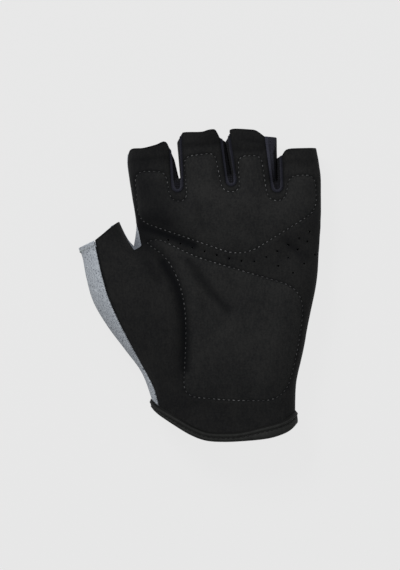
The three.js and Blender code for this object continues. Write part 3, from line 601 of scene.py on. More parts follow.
def wall(sheets, upper, lower, rim=0.4):
    """A closed wall of cloth between two heights over the skin, with rounded rims."""
    q, side, faces = welded(sheets)
    points, normals = skin(q, side)
    top = points + normals * read(upper, q, side)[:, None]
    bottom = points + normals * read(lower, q, side)[:, None]
    directed = {(a, b) for face in faces for a, b in zip(face, face[1:] + face[:1])}
    borders = sorted((a, b) for a, b in directed if (b, a) not in directed)
    outward = np.zeros_like(top)
    starts, ends = np.array(borders).T
    across = np.cross(top[ends] - top[starts], normals[starts])
    np.add.at(outward, starts, across)
    np.add.at(outward, ends, across)
    on_rim = np.unique(starts)
    outward = unit(outward[on_rim])
    radius = read(rim, q[on_rim])
    thick = np.linalg.norm(top[on_rim] - bottom[on_rim], axis=1)
    radius = np.minimum(radius, thick * 0.45)
    row_of = np.zeros(len(q), int)
    row_of[on_rim] = np.arange(len(on_rim))
    rows = []
    for turn in RIM_TURNS:
        across = radius * (math.sin(math.radians(turn)) - 1)
        down = radius * (1 - math.cos(math.radians(turn)))
        depth = down if len(rows) < len(RIM_TURNS) / 2 else thick - down
        rows.append(top[on_rim] + outward * across[:, None] - normals[on_rim] * depth[:, None])
    top[on_rim], bottom[on_rim] = rows[0], rows[-1]
    count = len(q)
    added = len(rows) - 2
    between = [on_rim, *[2 * count + k * len(on_rim) + np.arange(len(on_rim)) for k in range(added)],
               on_rim + count]
    rim_faces = []
    for a, b in borders:
        ra, rb = row_of[a], row_of[b]
        rim_faces.extend([above[rb], above[ra], below[ra], below[rb]]
                         for above, below in zip(between, between[1:]))
    vertices = np.vstack([top, bottom, *rows[1:-1]])
    back_faces = [[i + count for i in reversed(face)] for face in faces]
    flat = unrolled(q, side)
    uv = np.vstack([flat, flat, *[flat[on_rim]] * added])
    return vertices, [*faces, *back_faces, *rim_faces], uv


def unrolled(q, side):
    """Plan points laid out flat from the back, so that a knit keeps its scale where it rolls up a side."""
    distance, direction = from_sides(q)
    roll = fullness(q)[1]
    angle = np.arccos(1 - np.minimum(distance / roll, 1))
    shift = roll * (math.pi / 2 + side * angle) - roll * np.cos(angle)
    shift = np.where((distance >= roll) & (side < 0), 0, shift)
    steady = unit(direction ** 3 + 1e-9)
    return q - steady * shift[:, None]


def piece(name, vertices, faces, material, replaces=(), uv=None, shade=None):
    """A smooth mesh that rides on the glove's body."""
    mesh = bpy.data.meshes.new(name)
    mesh.from_pydata(((vertices + CENTRING) * MM).tolist(), [], [[int(i) for i in face] for face in faces])
    if uv is not None:
        corners = np.zeros(len(mesh.loops), int)
        mesh.loops.foreach_get("vertex_index", corners)
        mesh.uv_layers.new(name="cloth").data.foreach_set("uv", uv[corners].astype(np.float32).ravel())
    # The shade attribute: mostly painted shade that darkens suede, knit and thread; on the navy mesh it makes
    # the cloth paler
    if shade is not None:
        mesh.attributes.new("shade", "FLOAT", "POINT").data.foreach_set("value", shade.astype(np.float32))
    mesh.shade_smooth()
    mesh.materials.append(material)
    made = bpy.data.objects.new(name, mesh)
    bpy.context.scene.collection.objects.link(made)
    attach(made, "root")
    if replaces:
        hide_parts(*replaces)
    return made


# Finishes

LIP = dict(height=0.5, reach=1.2, width=0.45)


class Finish:
    """A Principled material whose colour and bump come from procedural nodes."""

    def __init__(self, name, roughness, specular, sheen=0.0, emission=0.0):
        self.material = bpy.data.materials.new(name)
        self.material.use_nodes = True
        self.tree = self.material.node_tree
        self.shader = self.tree.nodes["Principled BSDF"]
        for socket, value in (("Roughness", roughness), ("Specular IOR Level", specular),
                              ("Sheen Weight", sheen), ("Emission Strength", emission)):
            self.shader.inputs[socket].default_value = value

    def add(self, kind, inputs, **settings):
        node = self.tree.nodes.new(kind)
        for setting, value in settings.items():
            setattr(node, setting, value)
        for socket, value in inputs.items():
            if isinstance(value, bpy.types.NodeSocket):
                self.tree.links.new(value, node.inputs[socket])
            else:
                node.inputs[socket].default_value = value
        return node

    def coordinates(self, source, scale=(1, 1, 1)):
        """Object or UV coordinates times a scale."""
        texture = self.add("ShaderNodeTexCoord", {})
        return self.add("ShaderNodeMapping", {"Vector": texture.outputs[source], "Scale": scale}).outputs[0]

    def attribute(self, name):
        return self.add("ShaderNodeAttribute", {}, attribute_name=name).outputs["Fac"]

    def noise(self, vector, scale, detail=2.0, roughness=0.5):
        inputs = {"Vector": vector, "Scale": scale, "Detail": detail, "Roughness": roughness}
        return self.add("ShaderNodeTexNoise", inputs).outputs["Fac"]

    def math(self, operation, *values):
        return self.add("ShaderNodeMath", dict(enumerate(values)), operation=operation).outputs[0]

    def plus(self, first, second):
        return self.math("ADD", first, second)

    def times(self, first, second):
        return self.math("MULTIPLY", first, second)

    def levels(self, value, low, high, to_low=0.0, to_high=1.0):
        inputs = {"Value": value, "From Min": low, "From Max": high, "To Min": to_low, "To Max": to_high}
        return self.add("ShaderNodeMapRange", inputs).outputs[0]

    def blend(self, share, first, second):
        node = self.add("ShaderNodeMix", {"Factor": share}, data_type="RGBA")
        for socket, value in (node.inputs[6], first), (node.inputs[7], second):
            if isinstance(value, bpy.types.NodeSocket):
                self.tree.links.new(value, socket)
            else:
                socket.default_value = (*value, 1)
        return node.outputs[2]

    def finish(self, colour, *reliefs):
        """Joins the colour and the reliefs, each a height, its distance in metres and its strength."""
        self.tree.links.new(colour, self.shader.inputs["Base Color"])
        normal = None
        for height, distance, strength in reliefs:
            inputs = {"Height": height, "Distance": distance, "Strength": strength}
            if normal:
                inputs["Normal"] = normal
            normal = self.add("ShaderNodeBump", inputs).outputs[0]
        if normal:
            self.tree.links.new(normal, self.shader.inputs["Normal"])
        return self.material


def suede(name, dark, light):
    """A short nap: soft patches where it was brushed another way, fibres and fine grain."""
    finish = Finish(name, roughness=0.92, specular=0.06, sheen=0.03)
    place = finish.coordinates("Object")
    patches = finish.noise(place, 90, 4)
    fibres = finish.noise(finish.coordinates("Object", (1, 0.4, 1)), 800, 3)
    grain = finish.noise(place, 1100, 2)
    hairs = finish.plus(finish.times(fibres, 0.3), finish.times(grain, 0.4))
    share = finish.plus(finish.times(patches, 0.3), hairs)
    colour = finish.blend(finish.levels(share, 0.39, 0.61), dark, light)
    # Painted shade: the shade attribute darkens the suede towards near black
    colour = finish.blend(finish.attribute("shade"), colour, (0.0012, 0.0014, 0.002))
    return finish.finish(colour, (fibres, 0.0002, 0.35), (grain, 0.00012, 0.5))


def heathered_knit(name, base, dark, light, fleck):
    """Fine jersey of mixed light and dark fibres. The cloth map is in millimetres."""
    finish = Finish(name, roughness=0.9, specular=0.1, sheen=0.06)
    place = finish.coordinates("UV")
    axes = finish.add("ShaderNodeSeparateXYZ", {"Vector": place})
    wale = finish.math("PINGPONG", finish.math("DIVIDE", axes.outputs[0], 0.8), 0.5)
    course = finish.plus(finish.math("DIVIDE", axes.outputs[1], 0.62), finish.times(wale, 1.1))
    loops = finish.times(finish.math("SINE", finish.times(course, math.tau)), finish.levels(wale, 0.02, 0.3))
    yarns = finish.noise(finish.coordinates("UV", (1.3, 0.4, 1)), 1.0, 3, 0.6)
    fuzz = finish.noise(place, 2.6, 2)
    flecks = finish.noise(finish.coordinates("UV", (1, 0.6, 1)), 1.6, 1)
    colour = finish.blend(finish.levels(yarns, 0.3, 0.7), dark, light)
    colour = finish.blend(finish.levels(fuzz, 0.35, 0.7, 0.0, 0.35), colour, base)
    colour = finish.blend(finish.levels(loops, -0.2, -1, 0.0, 0.3), colour, dark)
    colour = finish.blend(finish.levels(flecks, 0.56, 0.66, 0.0, 0.9), colour, fleck)
    # Painted shade: the shade attribute darkens the knit towards its fleck colour
    colour = finish.blend(finish.attribute("shade"), colour, fleck)
    return finish.finish(colour, (loops, 0.00018, 0.5), (fuzz, 0.0001, 0.4))


def stretch_mesh(name, deep_shade, base, rim):
    """Navy mesh with a smooth folded rim. Its cloth map runs away from the palm's edge and along it."""
    finish = Finish(name, roughness=0.9, specular=0.08, sheen=0.03)
    place = finish.coordinates("Object", (1000, 1000, 1000))
    reach = finish.add("ShaderNodeSeparateXYZ", {"Vector": finish.coordinates("UV")}).outputs[0]
    cells = {"Vector": place, "Scale": 0.85, "Randomness": 0.2}
    holes = finish.add("ShaderNodeTexVoronoi", cells).outputs["Distance"]
    fuzz = finish.noise(place, 2.4, 3)
    sway = finish.noise(place, 0.8, 2)
    off_rim = finish.math("SUBTRACT", finish.plus(reach, sway), LIP["reach"] + 0.6)
    off_rim = finish.plus(finish.math("ABSOLUTE", off_rim), finish.times(fuzz, 0.5))
    on_rim = finish.times(finish.levels(off_rim, 0.45, 0.85, 1.0, 0.0),
                          finish.levels(sway, 0.35, 0.6, 1.0, 0.45))
    # Painted shade: away from the palm's edge, and in its holes, the mesh takes the near-black deep shade
    # colour
    colour = finish.blend(finish.levels(holes, 0.45, 0.15, 0.0, 0.6), deep_shade, rim)
    colour = finish.blend(finish.levels(reach, 2.0, 1.2), colour, base)
    colour = finish.blend(on_rim, colour, rim)
    paler = finish.times(finish.attribute("shade"), finish.levels(fuzz, 0.2, 0.65))
    colour = finish.blend(paler, colour, [1.6 * value for value in rim])
    return finish.finish(colour, (holes, 0.0003, 0.6), (fuzz, 0.00015, 0.5))


def woven_tape(name, base, light):
    """Matt tape with a fine diagonal weave. Its cloth map runs along and across it in millimetres."""
    finish = Finish(name, roughness=0.7, specular=0.12, sheen=0.02)
    place = finish.coordinates("UV")
    axes = finish.add("ShaderNodeSeparateXYZ", {"Vector": place})
    slant = finish.plus(axes.outputs[0], finish.times(axes.outputs[1], 0.8))
    weave = finish.math("SINE", finish.times(slant, math.tau / 0.75))
    wear = finish.noise(place, 0.35, 4)
    colour = finish.blend(finish.levels(wear, 0.35, 0.7), base, light)
    # Painted shadow: near black along the tape's upper edge, beside the palm
    colour = finish.blend(finish.levels(axes.outputs[1], 1.15, 1.5, 0.95, 0.0), colour, (0.001, 0.001, 0.001))
    return finish.finish(colour, (weave, 0.0001, 0.35), (finish.noise(place, 2.5, 2), 0.00008, 0.4))


def thread(name, base, light):
    """Twisted sewing thread."""
    finish = Finish(name, roughness=0.7, specular=0.15, sheen=0.05)
    place = finish.coordinates("Object")
    twist = finish.noise(finish.coordinates("Object", (1, 1.7, 1)), 1400, 1)
    colour = finish.blend(finish.levels(finish.noise(place, 210, 3), 0.33, 0.67), base, light)
    # Painted shade: the shade attribute dulls the thread
    colour = finish.blend(finish.attribute("shade"), colour, tuple(0.4 * channel for channel in base))
    return finish.finish(colour, (twist, 0.0001, 0.6))


# One suede in two copies: the palm's is painted darker as painted shade, the pads' lighter as painted light
palm_suede = suede("palm_suede", dark=(0.0066, 0.0067, 0.0071), light=(0.0123, 0.0123, 0.012))
pad_suede = suede("pad_suede", dark=(0.0087, 0.0089, 0.0093), light=(0.0163, 0.0163, 0.0159))
grey_knit = heathered_knit("back_knit", base=(0.335, 0.36, 0.395), dark=(0.25, 0.27, 0.3),
                           light=(0.45, 0.48, 0.51), fleck=(0.075, 0.085, 0.105))
navy_mesh = stretch_mesh("fourchette_mesh", deep_shade=(0.0018, 0.0018, 0.003), base=(0.0095, 0.0097, 0.0145),
                         rim=(0.021, 0.0214, 0.0295))
black_tape = woven_tape("binding_tape", base=(0.0092, 0.0095, 0.009), light=(0.0142, 0.0147, 0.0139))
grey_thread = thread("seam_thread", base=(0.019, 0.019, 0.0205), light=(0.128, 0.128, 0.13))
hem_thread = thread("hem_thread", base=(0.16, 0.17, 0.17), light=(0.5, 0.55, 0.53))
black_thread = thread("tape_thread", base=(0.003, 0.003, 0.003), light=(0.007, 0.007, 0.007))


# Palm panel and its pads

GROOVE_DEPTH = 0.35
GROOVE_WIDTH = 0.7
# Painted shade along the stitched grooves: its share and width
GROOVE_SHADE = 0.5
GROOVE_SHADE_WIDTH = 0.5
BANK = 0.22
BANK_REACH = 1.6
PAD_RISE = 1.4
# Depth of the palm's cloth under a pad below its grooves, and how far in it is reached
BED = dict(depth=0.25, reach=1.5)
FILLING = dict(enlarged=20, pressure=4, mass=0.002, steps=20, most=0.5, slack_reach=3)
PAD_SHOULDER = 2.6
PAD_CLEARANCE = 0.04
PALM_SHOULDER = math.radians(12)
VENT_DIMPLE = dict(depth=0.15, width=0.5)
# Unevenness of the suede: height, size across and place in the noise
RUFFLES = [(0.16, 11, 1.7), (0.07, 4, 5.2)]
RING_OFFSETS = (0.5, 1.05, 1.75)
CROTCH_RINGS = (0.35, 0.8, 1.4, 2.1, 3, 4.2)
LITTLE_RINGS = (0.7, 1.2, 1.9, 2.7, 3.7, 5)
# Degrees from the little finger's side, on the palm and then below it
WRAP_TURNS = (6, 0, -8, -16, -25)
RIM_RADIUS = 0.42
VENT_RIM_RADIUS = 0.12
# Painted shade along the palm panel's sewn edges: its share and width
EDGE_SHADE = dict(share=0.85, width=0.6)

knuckle_line = eased_outline(KNUCKLE_PAD)
heel_line = eased_outline(HEEL_PAD)
vents = np.vstack([Curve(row["path"]).at(np.linspace(0, 1, row["holes"])) for row in VENT_ROWS])


def pad_depth(q):
    """Distance from the nearer stitched line, positive within its pad."""
    return np.maximum(depth_inside(q, knuckle_line), depth_inside(q, heel_line))


def ruffle(q):
    """Slight unevenness of the suede."""
    return np.array([sum(height * noise.noise(Vector((x / size, y / size, place)))
                         for height, size, place in RUFFLES) for x, y in q])


def palm_height(q, side):
    depth = pad_depth(q)
    away = np.maximum(-depth, 0)
    bank = BANK * away / BANK_REACH * np.exp(1 - away / BANK_REACH)
    bank = bank - GROOVE_DEPTH * fading(away, GROOVE_WIDTH)
    height = np.where(depth > 0, -GROOVE_DEPTH - BED["depth"] * smoothstep(depth, 0, BED["reach"]), bank)
    from_vent = np.linalg.norm(q[:, None] - vents, axis=2).min(1)
    return height + ruffle(q) - VENT_DIMPLE["depth"] * fading(from_vent - VENT_RADIUS, VENT_DIMPLE["width"])


def pad_height(q):
    depth = np.maximum(pad_depth(q), 0)
    return ruffle(q) - GROOVE_DEPTH + (PAD_RISE + GROOVE_DEPTH) * (1 - np.exp(-depth / PAD_SHOULDER))


def circle(centre, radius, count=14):
    angles = np.arange(count) * math.tau / count
    return centre + radius * np.stack([np.cos(angles), np.sin(angles)], -1)


little_stations = outline["little_side"].walk()
little_inset = rolled_edge(little_side, little_stations)
thumb_seam = palm_edges["thumb_seam"].walk()
inner_edge = palm_edges["thumb_inner"].walk(0.9)[::-1]
index_edge = palm_edges["index_side"].walk(0.9)

palm_shoulder = rolled_to(little_stations, little_inset, PALM_SHOULDER)
palm_shoulder[0] = on_wrist(palm_shoulder[0, 0], 1)
wrist_x = np.linspace(palm_shoulder[0, 0], thumb_seam[0, 0], 70)
sewn_edge = joined(thumb_seam, rims["thumb"].walk(), inner_edge, index_edge,
                   comb(index_edge[-1], palm_shoulder[-1]))
palm_boundary = joined(sewn_edge, palm_shoulder[::-1], on_wrist(wrist_x, 1))[:-1]
palm_rings = [offset_loop(line, sign * offset) for line in (knuckle_line, heel_line)
              for offset in RING_OFFSETS for sign in (1, -1)]
palm_rings += along_side(crotch_side, CROTCH_RINGS)
palm_rings += along_side(little_side, LITTLE_RINGS)
palm_rings += [circle(vent, VENT_RADIUS + 0.5) for vent in vents]
palm_q, palm_faces = triangulated(palm_boundary, [knuckle_line, heel_line], palm_rings,
                                  [circle(vent, VENT_RADIUS) for vent in vents])
wrap = with_wrist_row(*across_side(little_inset, little_stations, little_inset, np.radians(WRAP_TURNS)))
palm_sheets = [sheet(palm_q, 1, palm_faces), strip(*with_shoulder(*wrap, palm_shoulder, 1))]


def palm_rim(q):
    """The panel's edges are rounded, and its air holes have nearly sharp ones."""
    near_vent = np.linalg.norm(q[:, None] - vents, axis=2).min(1) < VENT_RADIUS * 1.2
    return np.where(near_vent, VENT_RIM_RADIUS, RIM_RADIUS)


vertices, faces, _ = wall(palm_sheets, palm_height,
                          lambda q, side: palm_height(q, side) - PALM_WALL, palm_rim)
# Painted shade in the creases, along the grooves and along the sewn edges, rims and slots
at_edge = fading(distance_to_line(vertices[:, :2], sewn_edge), EDGE_SHADE["width"])
shade = 1 - (1 - crease_shade(vertices[:, :2])) * (1 - EDGE_SHADE["share"] * at_edge)
piece("palm_suede", vertices, faces, palm_suede, ["palm_panel"], shade=shade)


def filled_out(points, faces, held):
    """Points of a suede cover after its foam has pushed it out against its stitched line.

    A short cloth simulation of the cover, enlarged. FILLING limits how far its points move.
    """
    mesh = bpy.data.meshes.new("cover")
    mesh.from_pydata((points * MM * FILLING["enlarged"]).tolist(), [], faces.tolist())
    cover = bpy.data.objects.new("cover", mesh)
    bpy.context.scene.collection.objects.link(cover)
    pinned = cover.vertex_groups.new(name="pinned")
    pinned.add(np.flatnonzero(held).tolist(), 1, "REPLACE")
    cloth = cover.modifiers.new("filling", "CLOTH")
    cloth.settings.vertex_group_mass = pinned.name
    cloth.settings.use_pressure = True
    cloth.settings.uniform_pressure_force = FILLING["pressure"]
    cloth.settings.mass = FILLING["mass"]
    cloth.settings.effector_weights.gravity = 0
    cloth.collision_settings.use_collision = False
    cloth.point_cache.frame_end = FILLING["steps"]
    for step in range(1, FILLING["steps"] + 1):
        bpy.context.scene.frame_set(step)
    settled = cover.evaluated_get(bpy.context.evaluated_depsgraph_get()).data
    moved = np.array([vertex.co for vertex in settled.vertices]) / (MM * FILLING["enlarged"]) - points
    bpy.data.objects.remove(cover)
    bpy.context.scene.frame_set(1)
    distance = np.linalg.norm(moved, axis=1)
    limited = FILLING["most"] * np.tanh(distance / FILLING["most"])
    return points + moved * (limited / np.maximum(distance, 1e-6))[:, None]


def pad(name, line, replaces):
    """A padded zone: crowned on top, drawn down to the palm along its stitched line."""
    centres = palm_q[np.array(palm_faces)].mean(1)
    faces = np.array(palm_faces)[inside(centres, line)]
    used, faces = np.unique(faces, return_inverse=True)
    faces = faces.reshape(-1, 3)
    q = palm_q[used]
    points, normals = skin(q, np.ones(len(q)))
    on_line = np.abs(depth_inside(q, line)) < 1e-6
    top = points + normals * pad_height(q)[:, None]
    bottom = points + normals * (palm_height(q, 1) + PAD_CLEARANCE)[:, None]
    slack = FILLING["most"] * smoothstep(depth_inside(q, line), 0, FILLING["slack_reach"])
    top = filled_out(top - normals * slack[:, None], faces, on_line)
    bottom[on_line] = top[on_line]
    below = np.arange(len(q)) + len(q)
    faces = [*faces.tolist(), *below[faces[:, ::-1]].tolist()]
    made = piece(name, np.vstack([top, bottom]), faces, pad_suede, [replaces],
                 shade=np.tile(crease_shade(q), 2))


pad("knuckle_cushion", knuckle_line, "knuckle_pad")
pad("heel_cushion", heel_line, "heel_pad")


# Stitches

STITCH = dict(length=1.3, pitch=2.6, radius=0.25)
# Rise of a stitch in its middle, and how deep its ends dive
ARCH = 0.15
DIP = 0.3
STITCH_ROWS = 9
STITCH_SIDES = 8
jitter = np.random.default_rng(7)


def lengths_along(path):
    return np.concatenate([[0], np.cumsum(np.linalg.norm(np.diff(path, axis=0), axis=1))])


def at_lengths(values, lengths, wanted):
    """Columns of values read at the wanted lengths."""
    return np.stack([np.interp(wanted, lengths, column) for column in values.T], -1)


def sewn_row(name, path, normals, material, length, pitch, radius, slant=0.0, painted_shade=None):
    """Separate stitches along a line over the cloth, each diving into it at both ends.

    Where painted shade falls on them, from 0 to 1 over plan points, they are duller.
    """
    lengths = lengths_along(path)
    count = round(lengths[-1] / pitch)
    centres = (np.arange(count) + 0.5) * lengths[-1] / count
    share = np.linspace(-1, 1, STITCH_ROWS)
    own_length = length * jitter.uniform(0.8, 1.15, count)
    yaw = np.radians(slant + jitter.uniform(-9, 9, count))
    centre = at_lengths(path, lengths, centres)
    normal = unit(at_lengths(normals, lengths, centres))
    ahead = at_lengths(path, lengths, np.minimum(centres + 0.4, lengths[-1]))
    behind = at_lengths(path, lengths, np.maximum(centres - 0.4, 0))
    along = unit(ahead - behind)
    across = np.cross(normal, along)
    heading = along * np.cos(yaw)[:, None] + across * np.sin(yaw)[:, None]
    beside = np.cross(normal, heading)
    lift = ARCH * (1 - share ** 2) - DIP * share ** 6
    spine = (centre[:, None] + heading[:, None] * (share * own_length[:, None] / 2)[..., None]
             + normal[:, None] * lift[None, :, None])
    thickness = radius * np.sqrt(1 - 0.8 * share ** 6)
    turns = np.arange(STITCH_SIDES) * math.tau / STITCH_SIDES
    around = beside[:, None, None] * np.cos(turns)[:, None] + normal[:, None, None] * np.sin(turns)[:, None]
    vertices = spine[:, :, None] + around * thickness[None, :, None, None]
    index = np.arange(vertices[..., 0].size).reshape(vertices.shape[:3])
    turned = np.roll(index, -1, axis=2)
    quads = np.stack([index[:, :-1], turned[:, :-1], turned[:, 1:], index[:, 1:]], -1).reshape(-1, 4)
    caps = [*index[:, 0, ::-1].tolist(), *index[:, -1].tolist()]
    shade = np.zeros(count) if painted_shade is None else painted_shade(centre[:, :2])
    shade = np.clip(shade + jitter.uniform(-0.12, 0.12, count), 0, 1)
    piece(name, vertices.reshape(-1, 3), [*quads.tolist(), *caps], material,
          shade=np.repeat(shade, vertices[0, ..., 0].size))


def over_skin(q, side, height):
    """A 3D line over plan points, with the skin's normals."""
    points, normals = skin(q, side)
    return points + normals * np.broadcast_to(height, len(q))[:, None], normals


# Where the grey stitches are dulled by painted shade: how much, at which place and within which distance
STITCH_PAINTED_SHADE = [
    (0.8, (-34, 45), 17), (0.45, (-24, 68), 12), (0.4, (4, 70), 14), (0.45, (28, 70), 12),
    (0.5, (54, 62), 12), (0.65, (58, 40), 14), (0.6, (-12, 50), 10), (0.4, (18, 56), 9),
    (0.4, (41, 50), 9), (0.7, (-22, 22), 15), (0.5, (40, 6), 18), (0.75, (54, -20), 24),
    (0.75, (48, -58), 22), (0.8, (-8, -42), 26), (0.45, (-10, -10), 14),
]


def stitch_painted_shade(q):
    kept = np.ones(len(q))
    for painted_shade, place, reach in STITCH_PAINTED_SHADE:
        kept *= 1 - painted_shade * fading(np.linalg.norm(q - place, axis=1), reach)
    return 1 - kept


for name, line in ("knuckle_stitches", knuckle_line), ("heel_stitches", heel_line):
    closed = np.vstack([line, line[:1]])
    sewn_row(name, *over_skin(closed, np.ones(len(closed)), ruffle(closed) - GROOVE_DEPTH + 0.1), grey_thread,
             painted_shade=stitch_painted_shade, **STITCH)


# Back panel, carried up over the outside of the thumb

HEM = 2.8
HEM_RISE = 0.3
THUMB_END_BOW = 1.5
# Degrees below the little finger's side
UNDER_TURNS = (-34, -42)


def back_height(q, side):
    """The knit's outer face, thicker in the hem at the thumb's end."""
    from_end = distance_to_line(q, thumb_rim)
    return -0.12 - 0.1 * np.abs(ruffle(q)) + HEM_RISE * (1 - smoothstep(from_end, HEM - 0.5, HEM))


thumb_stations = outline["thumb_outer"].walk()
thumb_rim = np.array([palm_edges["thumb_seam"].points[-1], outline["thumb_outer"].points[-1],
                      outline["thumb_inner"].points[0]])
thumb_inset = rolled_edge(thumb_side, thumb_stations)
thumb_inset[0] = on_wrist(thumb_inset[0, 0], -1)
inner_inset = rolled_edge(crotch_side, inner_edge)
index_inset = rolled_edge(crotch_side, index_edge)
little_back = little_inset.copy()
little_back[0] = on_wrist(little_back[0, 0], -1)
for line in index_inset, little_back:
    line[:, 1] -= BACK_RIM_DROP * smoothstep(np.linspace(0, 1, len(line)), 0.8, 1)

thumb_end = straight(thumb_inset[-1], inner_inset[0])
ahead = unit(thumb_end[-1] - thumb_end[0])
thumb_end += np.outer(THUMB_END_BOW * np.sin(np.linspace(0, math.pi, len(thumb_end))), (ahead[1], -ahead[0]))
back_boundary = joined(
    thumb_inset, thumb_end, inner_inset, index_inset,
    comb(index_inset[-1], little_back[-1], BACK_RIM_DROP), little_back[::-1],
    on_wrist(np.linspace(little_back[0, 0], thumb_inset[0, 0], 60), -1))[:-1]
back_q, back_faces = triangulated(back_boundary)
seam_stations = palm_edges["thumb_seam"].at(np.linspace(0, 1, len(thumb_stations)))
seam_angle = roll_angle(seam_stations) - SEAM_ANGLE
below_side = np.broadcast_to(-ROLLED_EDGE * np.linspace(0.2, 0.8, 4), (len(seam_angle), 4))
thumb_angles = np.column_stack([seam_angle[:, None] * np.linspace(1, 0, 7), below_side])
thumb_rows = with_wrist_row(*across_side(seam_stations, thumb_stations, thumb_inset, thumb_angles))
thumb_q, thumb_side_of = with_shoulder(*thumb_rows, thumb_inset, -1)
under_angles = [PALM_WRAP - SEAM_ANGLE, *map(math.radians, UNDER_TURNS)]
under_rows = with_wrist_row(*across_side(little_stations, little_stations, little_back, under_angles))
back_sheets = [sheet(back_q, -1, back_faces), strip(thumb_q, thumb_side_of),
               strip(*with_shoulder(*under_rows, little_back, -1))]
vertices, faces, uv = wall(back_sheets, back_height, -BACK_WALL)
piece("back_knit", vertices, faces, grey_knit, ["back_panel"], uv)
sewn_row("hem_stitches", *over_skin(thumb_q[-3], thumb_side_of[-3], 0.12), hem_thread,
         length=1.3, pitch=1.3, radius=0.17, slant=58)


# Rows left out at a finger's end, heights over the skin, rim, degrees from the seam and painted shade
ALLOWANCE = dict(trim=3, outer=-1.72, inner=-2.3, rim=0.2, turns=(7, 2.5, -2.5, -8), shade=0.6)


def seam_allowance(name, palm_edge, side_points, back_edge, angle, material, on_wrist_edge=False):
    """The cloth turned in behind a seam, which closes it and stops short of the fingers' ends. Real turned-in
    cloth, darkened with painted shade in the seam's gap.
    """
    kept = slice(None if on_wrist_edge else ALLOWANCE["trim"], -ALLOWANCE["trim"])
    palm_edge, side_points, back_edge, angle = (
        rows[kept] for rows in (palm_edge, side_points, back_edge, angle))
    beyond = [side_points + (edge - side_points) * 2 for edge in (palm_edge, back_edge)]
    turns = angle[:, None] + np.radians(ALLOWANCE["turns"])
    q, side = across_side(beyond[0], side_points, beyond[1], turns)
    if on_wrist_edge:
        q, side = with_wrist_row(q, side)
    vertices, faces, uv = wall([strip(q, side)], ALLOWANCE["outer"], ALLOWANCE["inner"], ALLOWANCE["rim"])
    piece(name, vertices, faces, material, uv=uv, shade=np.full(len(vertices), ALLOWANCE["shade"]))


def gusset_allowances(name, palm_edge, side_points, back_edge, back_cloth):
    """The cloth turned in behind a gusset's seams with the palm and with the back."""
    seam_allowance(f"{name}_allowance", palm_edge, side_points, back_edge, roll_angle(palm_edge),
                   palm_suede)
    seam_allowance(f"{name}_back_allowance", palm_edge, side_points, back_edge, -roll_angle(back_edge),
                   back_cloth)


seam_allowance("thumb_seam_allowance", seam_stations, thumb_stations, thumb_inset,
               roll_angle(seam_stations) - SEAM_ANGLE / 2, palm_suede, on_wrist_edge=True)
seam_allowance("little_seam_allowance", little_stations, little_stations, little_back,
               np.full(len(little_stations), PALM_WRAP - SEAM_ANGLE / 2), palm_suede,
               on_wrist_edge=True)


# Gussets

GUSSET_RIM = 0.35
# How far the two narrow slots' gussets bulge into them
SLIT_CLOSING = dict(height=0.46, angle=0.5)
# Painted shade in the thumb's crotch: its share and width
CROTCH_SHADE = dict(share=0.85, width=11)
# Where the gusset beside the little finger is paler, along its seam
PALE_WEB = dict(name="ring_little", full_to=14, none_from=24)


def gusset_angles(palm_edge, back_edge, shares):
    """Roll angles from just below the palm's edge to just above the back's, at shares of the way."""
    start = roll_angle(palm_edge) - GUSSET_ANGLE
    start = np.where(start < GUSSET_ANGLE, -GUSSET_ANGLE, start)
    end = GUSSET_ANGLE - roll_angle(back_edge)
    return mix(start[:, None], end[:, None], np.array(shares))


crotch_edge = joined(inner_edge, index_edge)
crotch_stations = crotch_side.nearest(crotch_edge)[2]
crotch_inset = joined(inner_inset, index_inset)
gusset_q, gusset_side = across_side(crotch_edge, crotch_stations, crotch_inset,
                                    gusset_angles(crotch_edge, crotch_inset, np.linspace(0, 1, 12)))
vertices, faces, uv = wall([strip(gusset_q, gusset_side)], 0, -GUSSET_WALL, GUSSET_RIM)
from_crotch = np.linalg.norm(vertices[:, :2] - index_edge[0], axis=1)
crotch_painted_shade = CROTCH_SHADE["share"] * fading(from_crotch, CROTCH_SHADE["width"])
piece("thumb_gusset_knit", vertices, faces, grey_knit, ["thumb_gusset"], uv, crotch_painted_shade)
gusset_allowances("crotch", crotch_edge, crotch_stations, crotch_inset, grey_knit)


def from_seam(points, line):
    """How far points are from a seam on the palm side, and how far along it their nearest points are."""
    lengths = lengths_along(line)
    even = np.arange(0, lengths[-1], 0.25)
    seam = skin(at_lengths(line, lengths, even), np.ones(len(even)))[0]
    away = np.linalg.norm(points[:, None] - seam, axis=2)
    return away.min(1), even[away.argmin(1)]


WEB_SHARES = (0, 0.02, 0.04, 0.06, 0.085, 0.11, 0.14, 0.18, 0.24, 0.32, 0.42, 0.52, 0.64, 0.76, 0.88, 1)
for slot, edge, bulge in zip(SLOTS, edge_lines, bulge_lines):
    def web_height(q, side):
        away = from_seam(skin(q, side)[0], edge)[0]
        lip = LIP["height"] * fading(away - LIP["reach"], LIP["width"]) * (side > 0)
        closing = SLIT_CLOSING["height"] * fading(roll_angle(q), SLIT_CLOSING["angle"])
        return lip + (0 if slot["name"] == "index_middle" else closing) + 0.25 * ruffle(q * 3)

    below = lowered(edge, BACK_RIM_DROP)
    web_q, web_side = across_side(edge, bulge, below, gusset_angles(edge, below, WEB_SHARES))
    vertices, faces, _ = wall([strip(web_q, web_side)], web_height, -GUSSET_WALL, GUSSET_RIM)
    uv = np.stack(from_seam(vertices, edge), -1)
    pale = 1 - smoothstep(uv[:, 1], PALE_WEB["full_to"], PALE_WEB["none_from"])
    piece(f"web_{slot['name']}", vertices, faces, navy_mesh,
          [f"fourchette_{slot['name']}"], uv, pale * (slot["name"] == PALE_WEB["name"]))
    gusset_allowances(f"web_{slot['name']}", edge, bulge, below, navy_mesh)


# Binding round the wrist: a folded tape, sewn along the valley between its two ridges

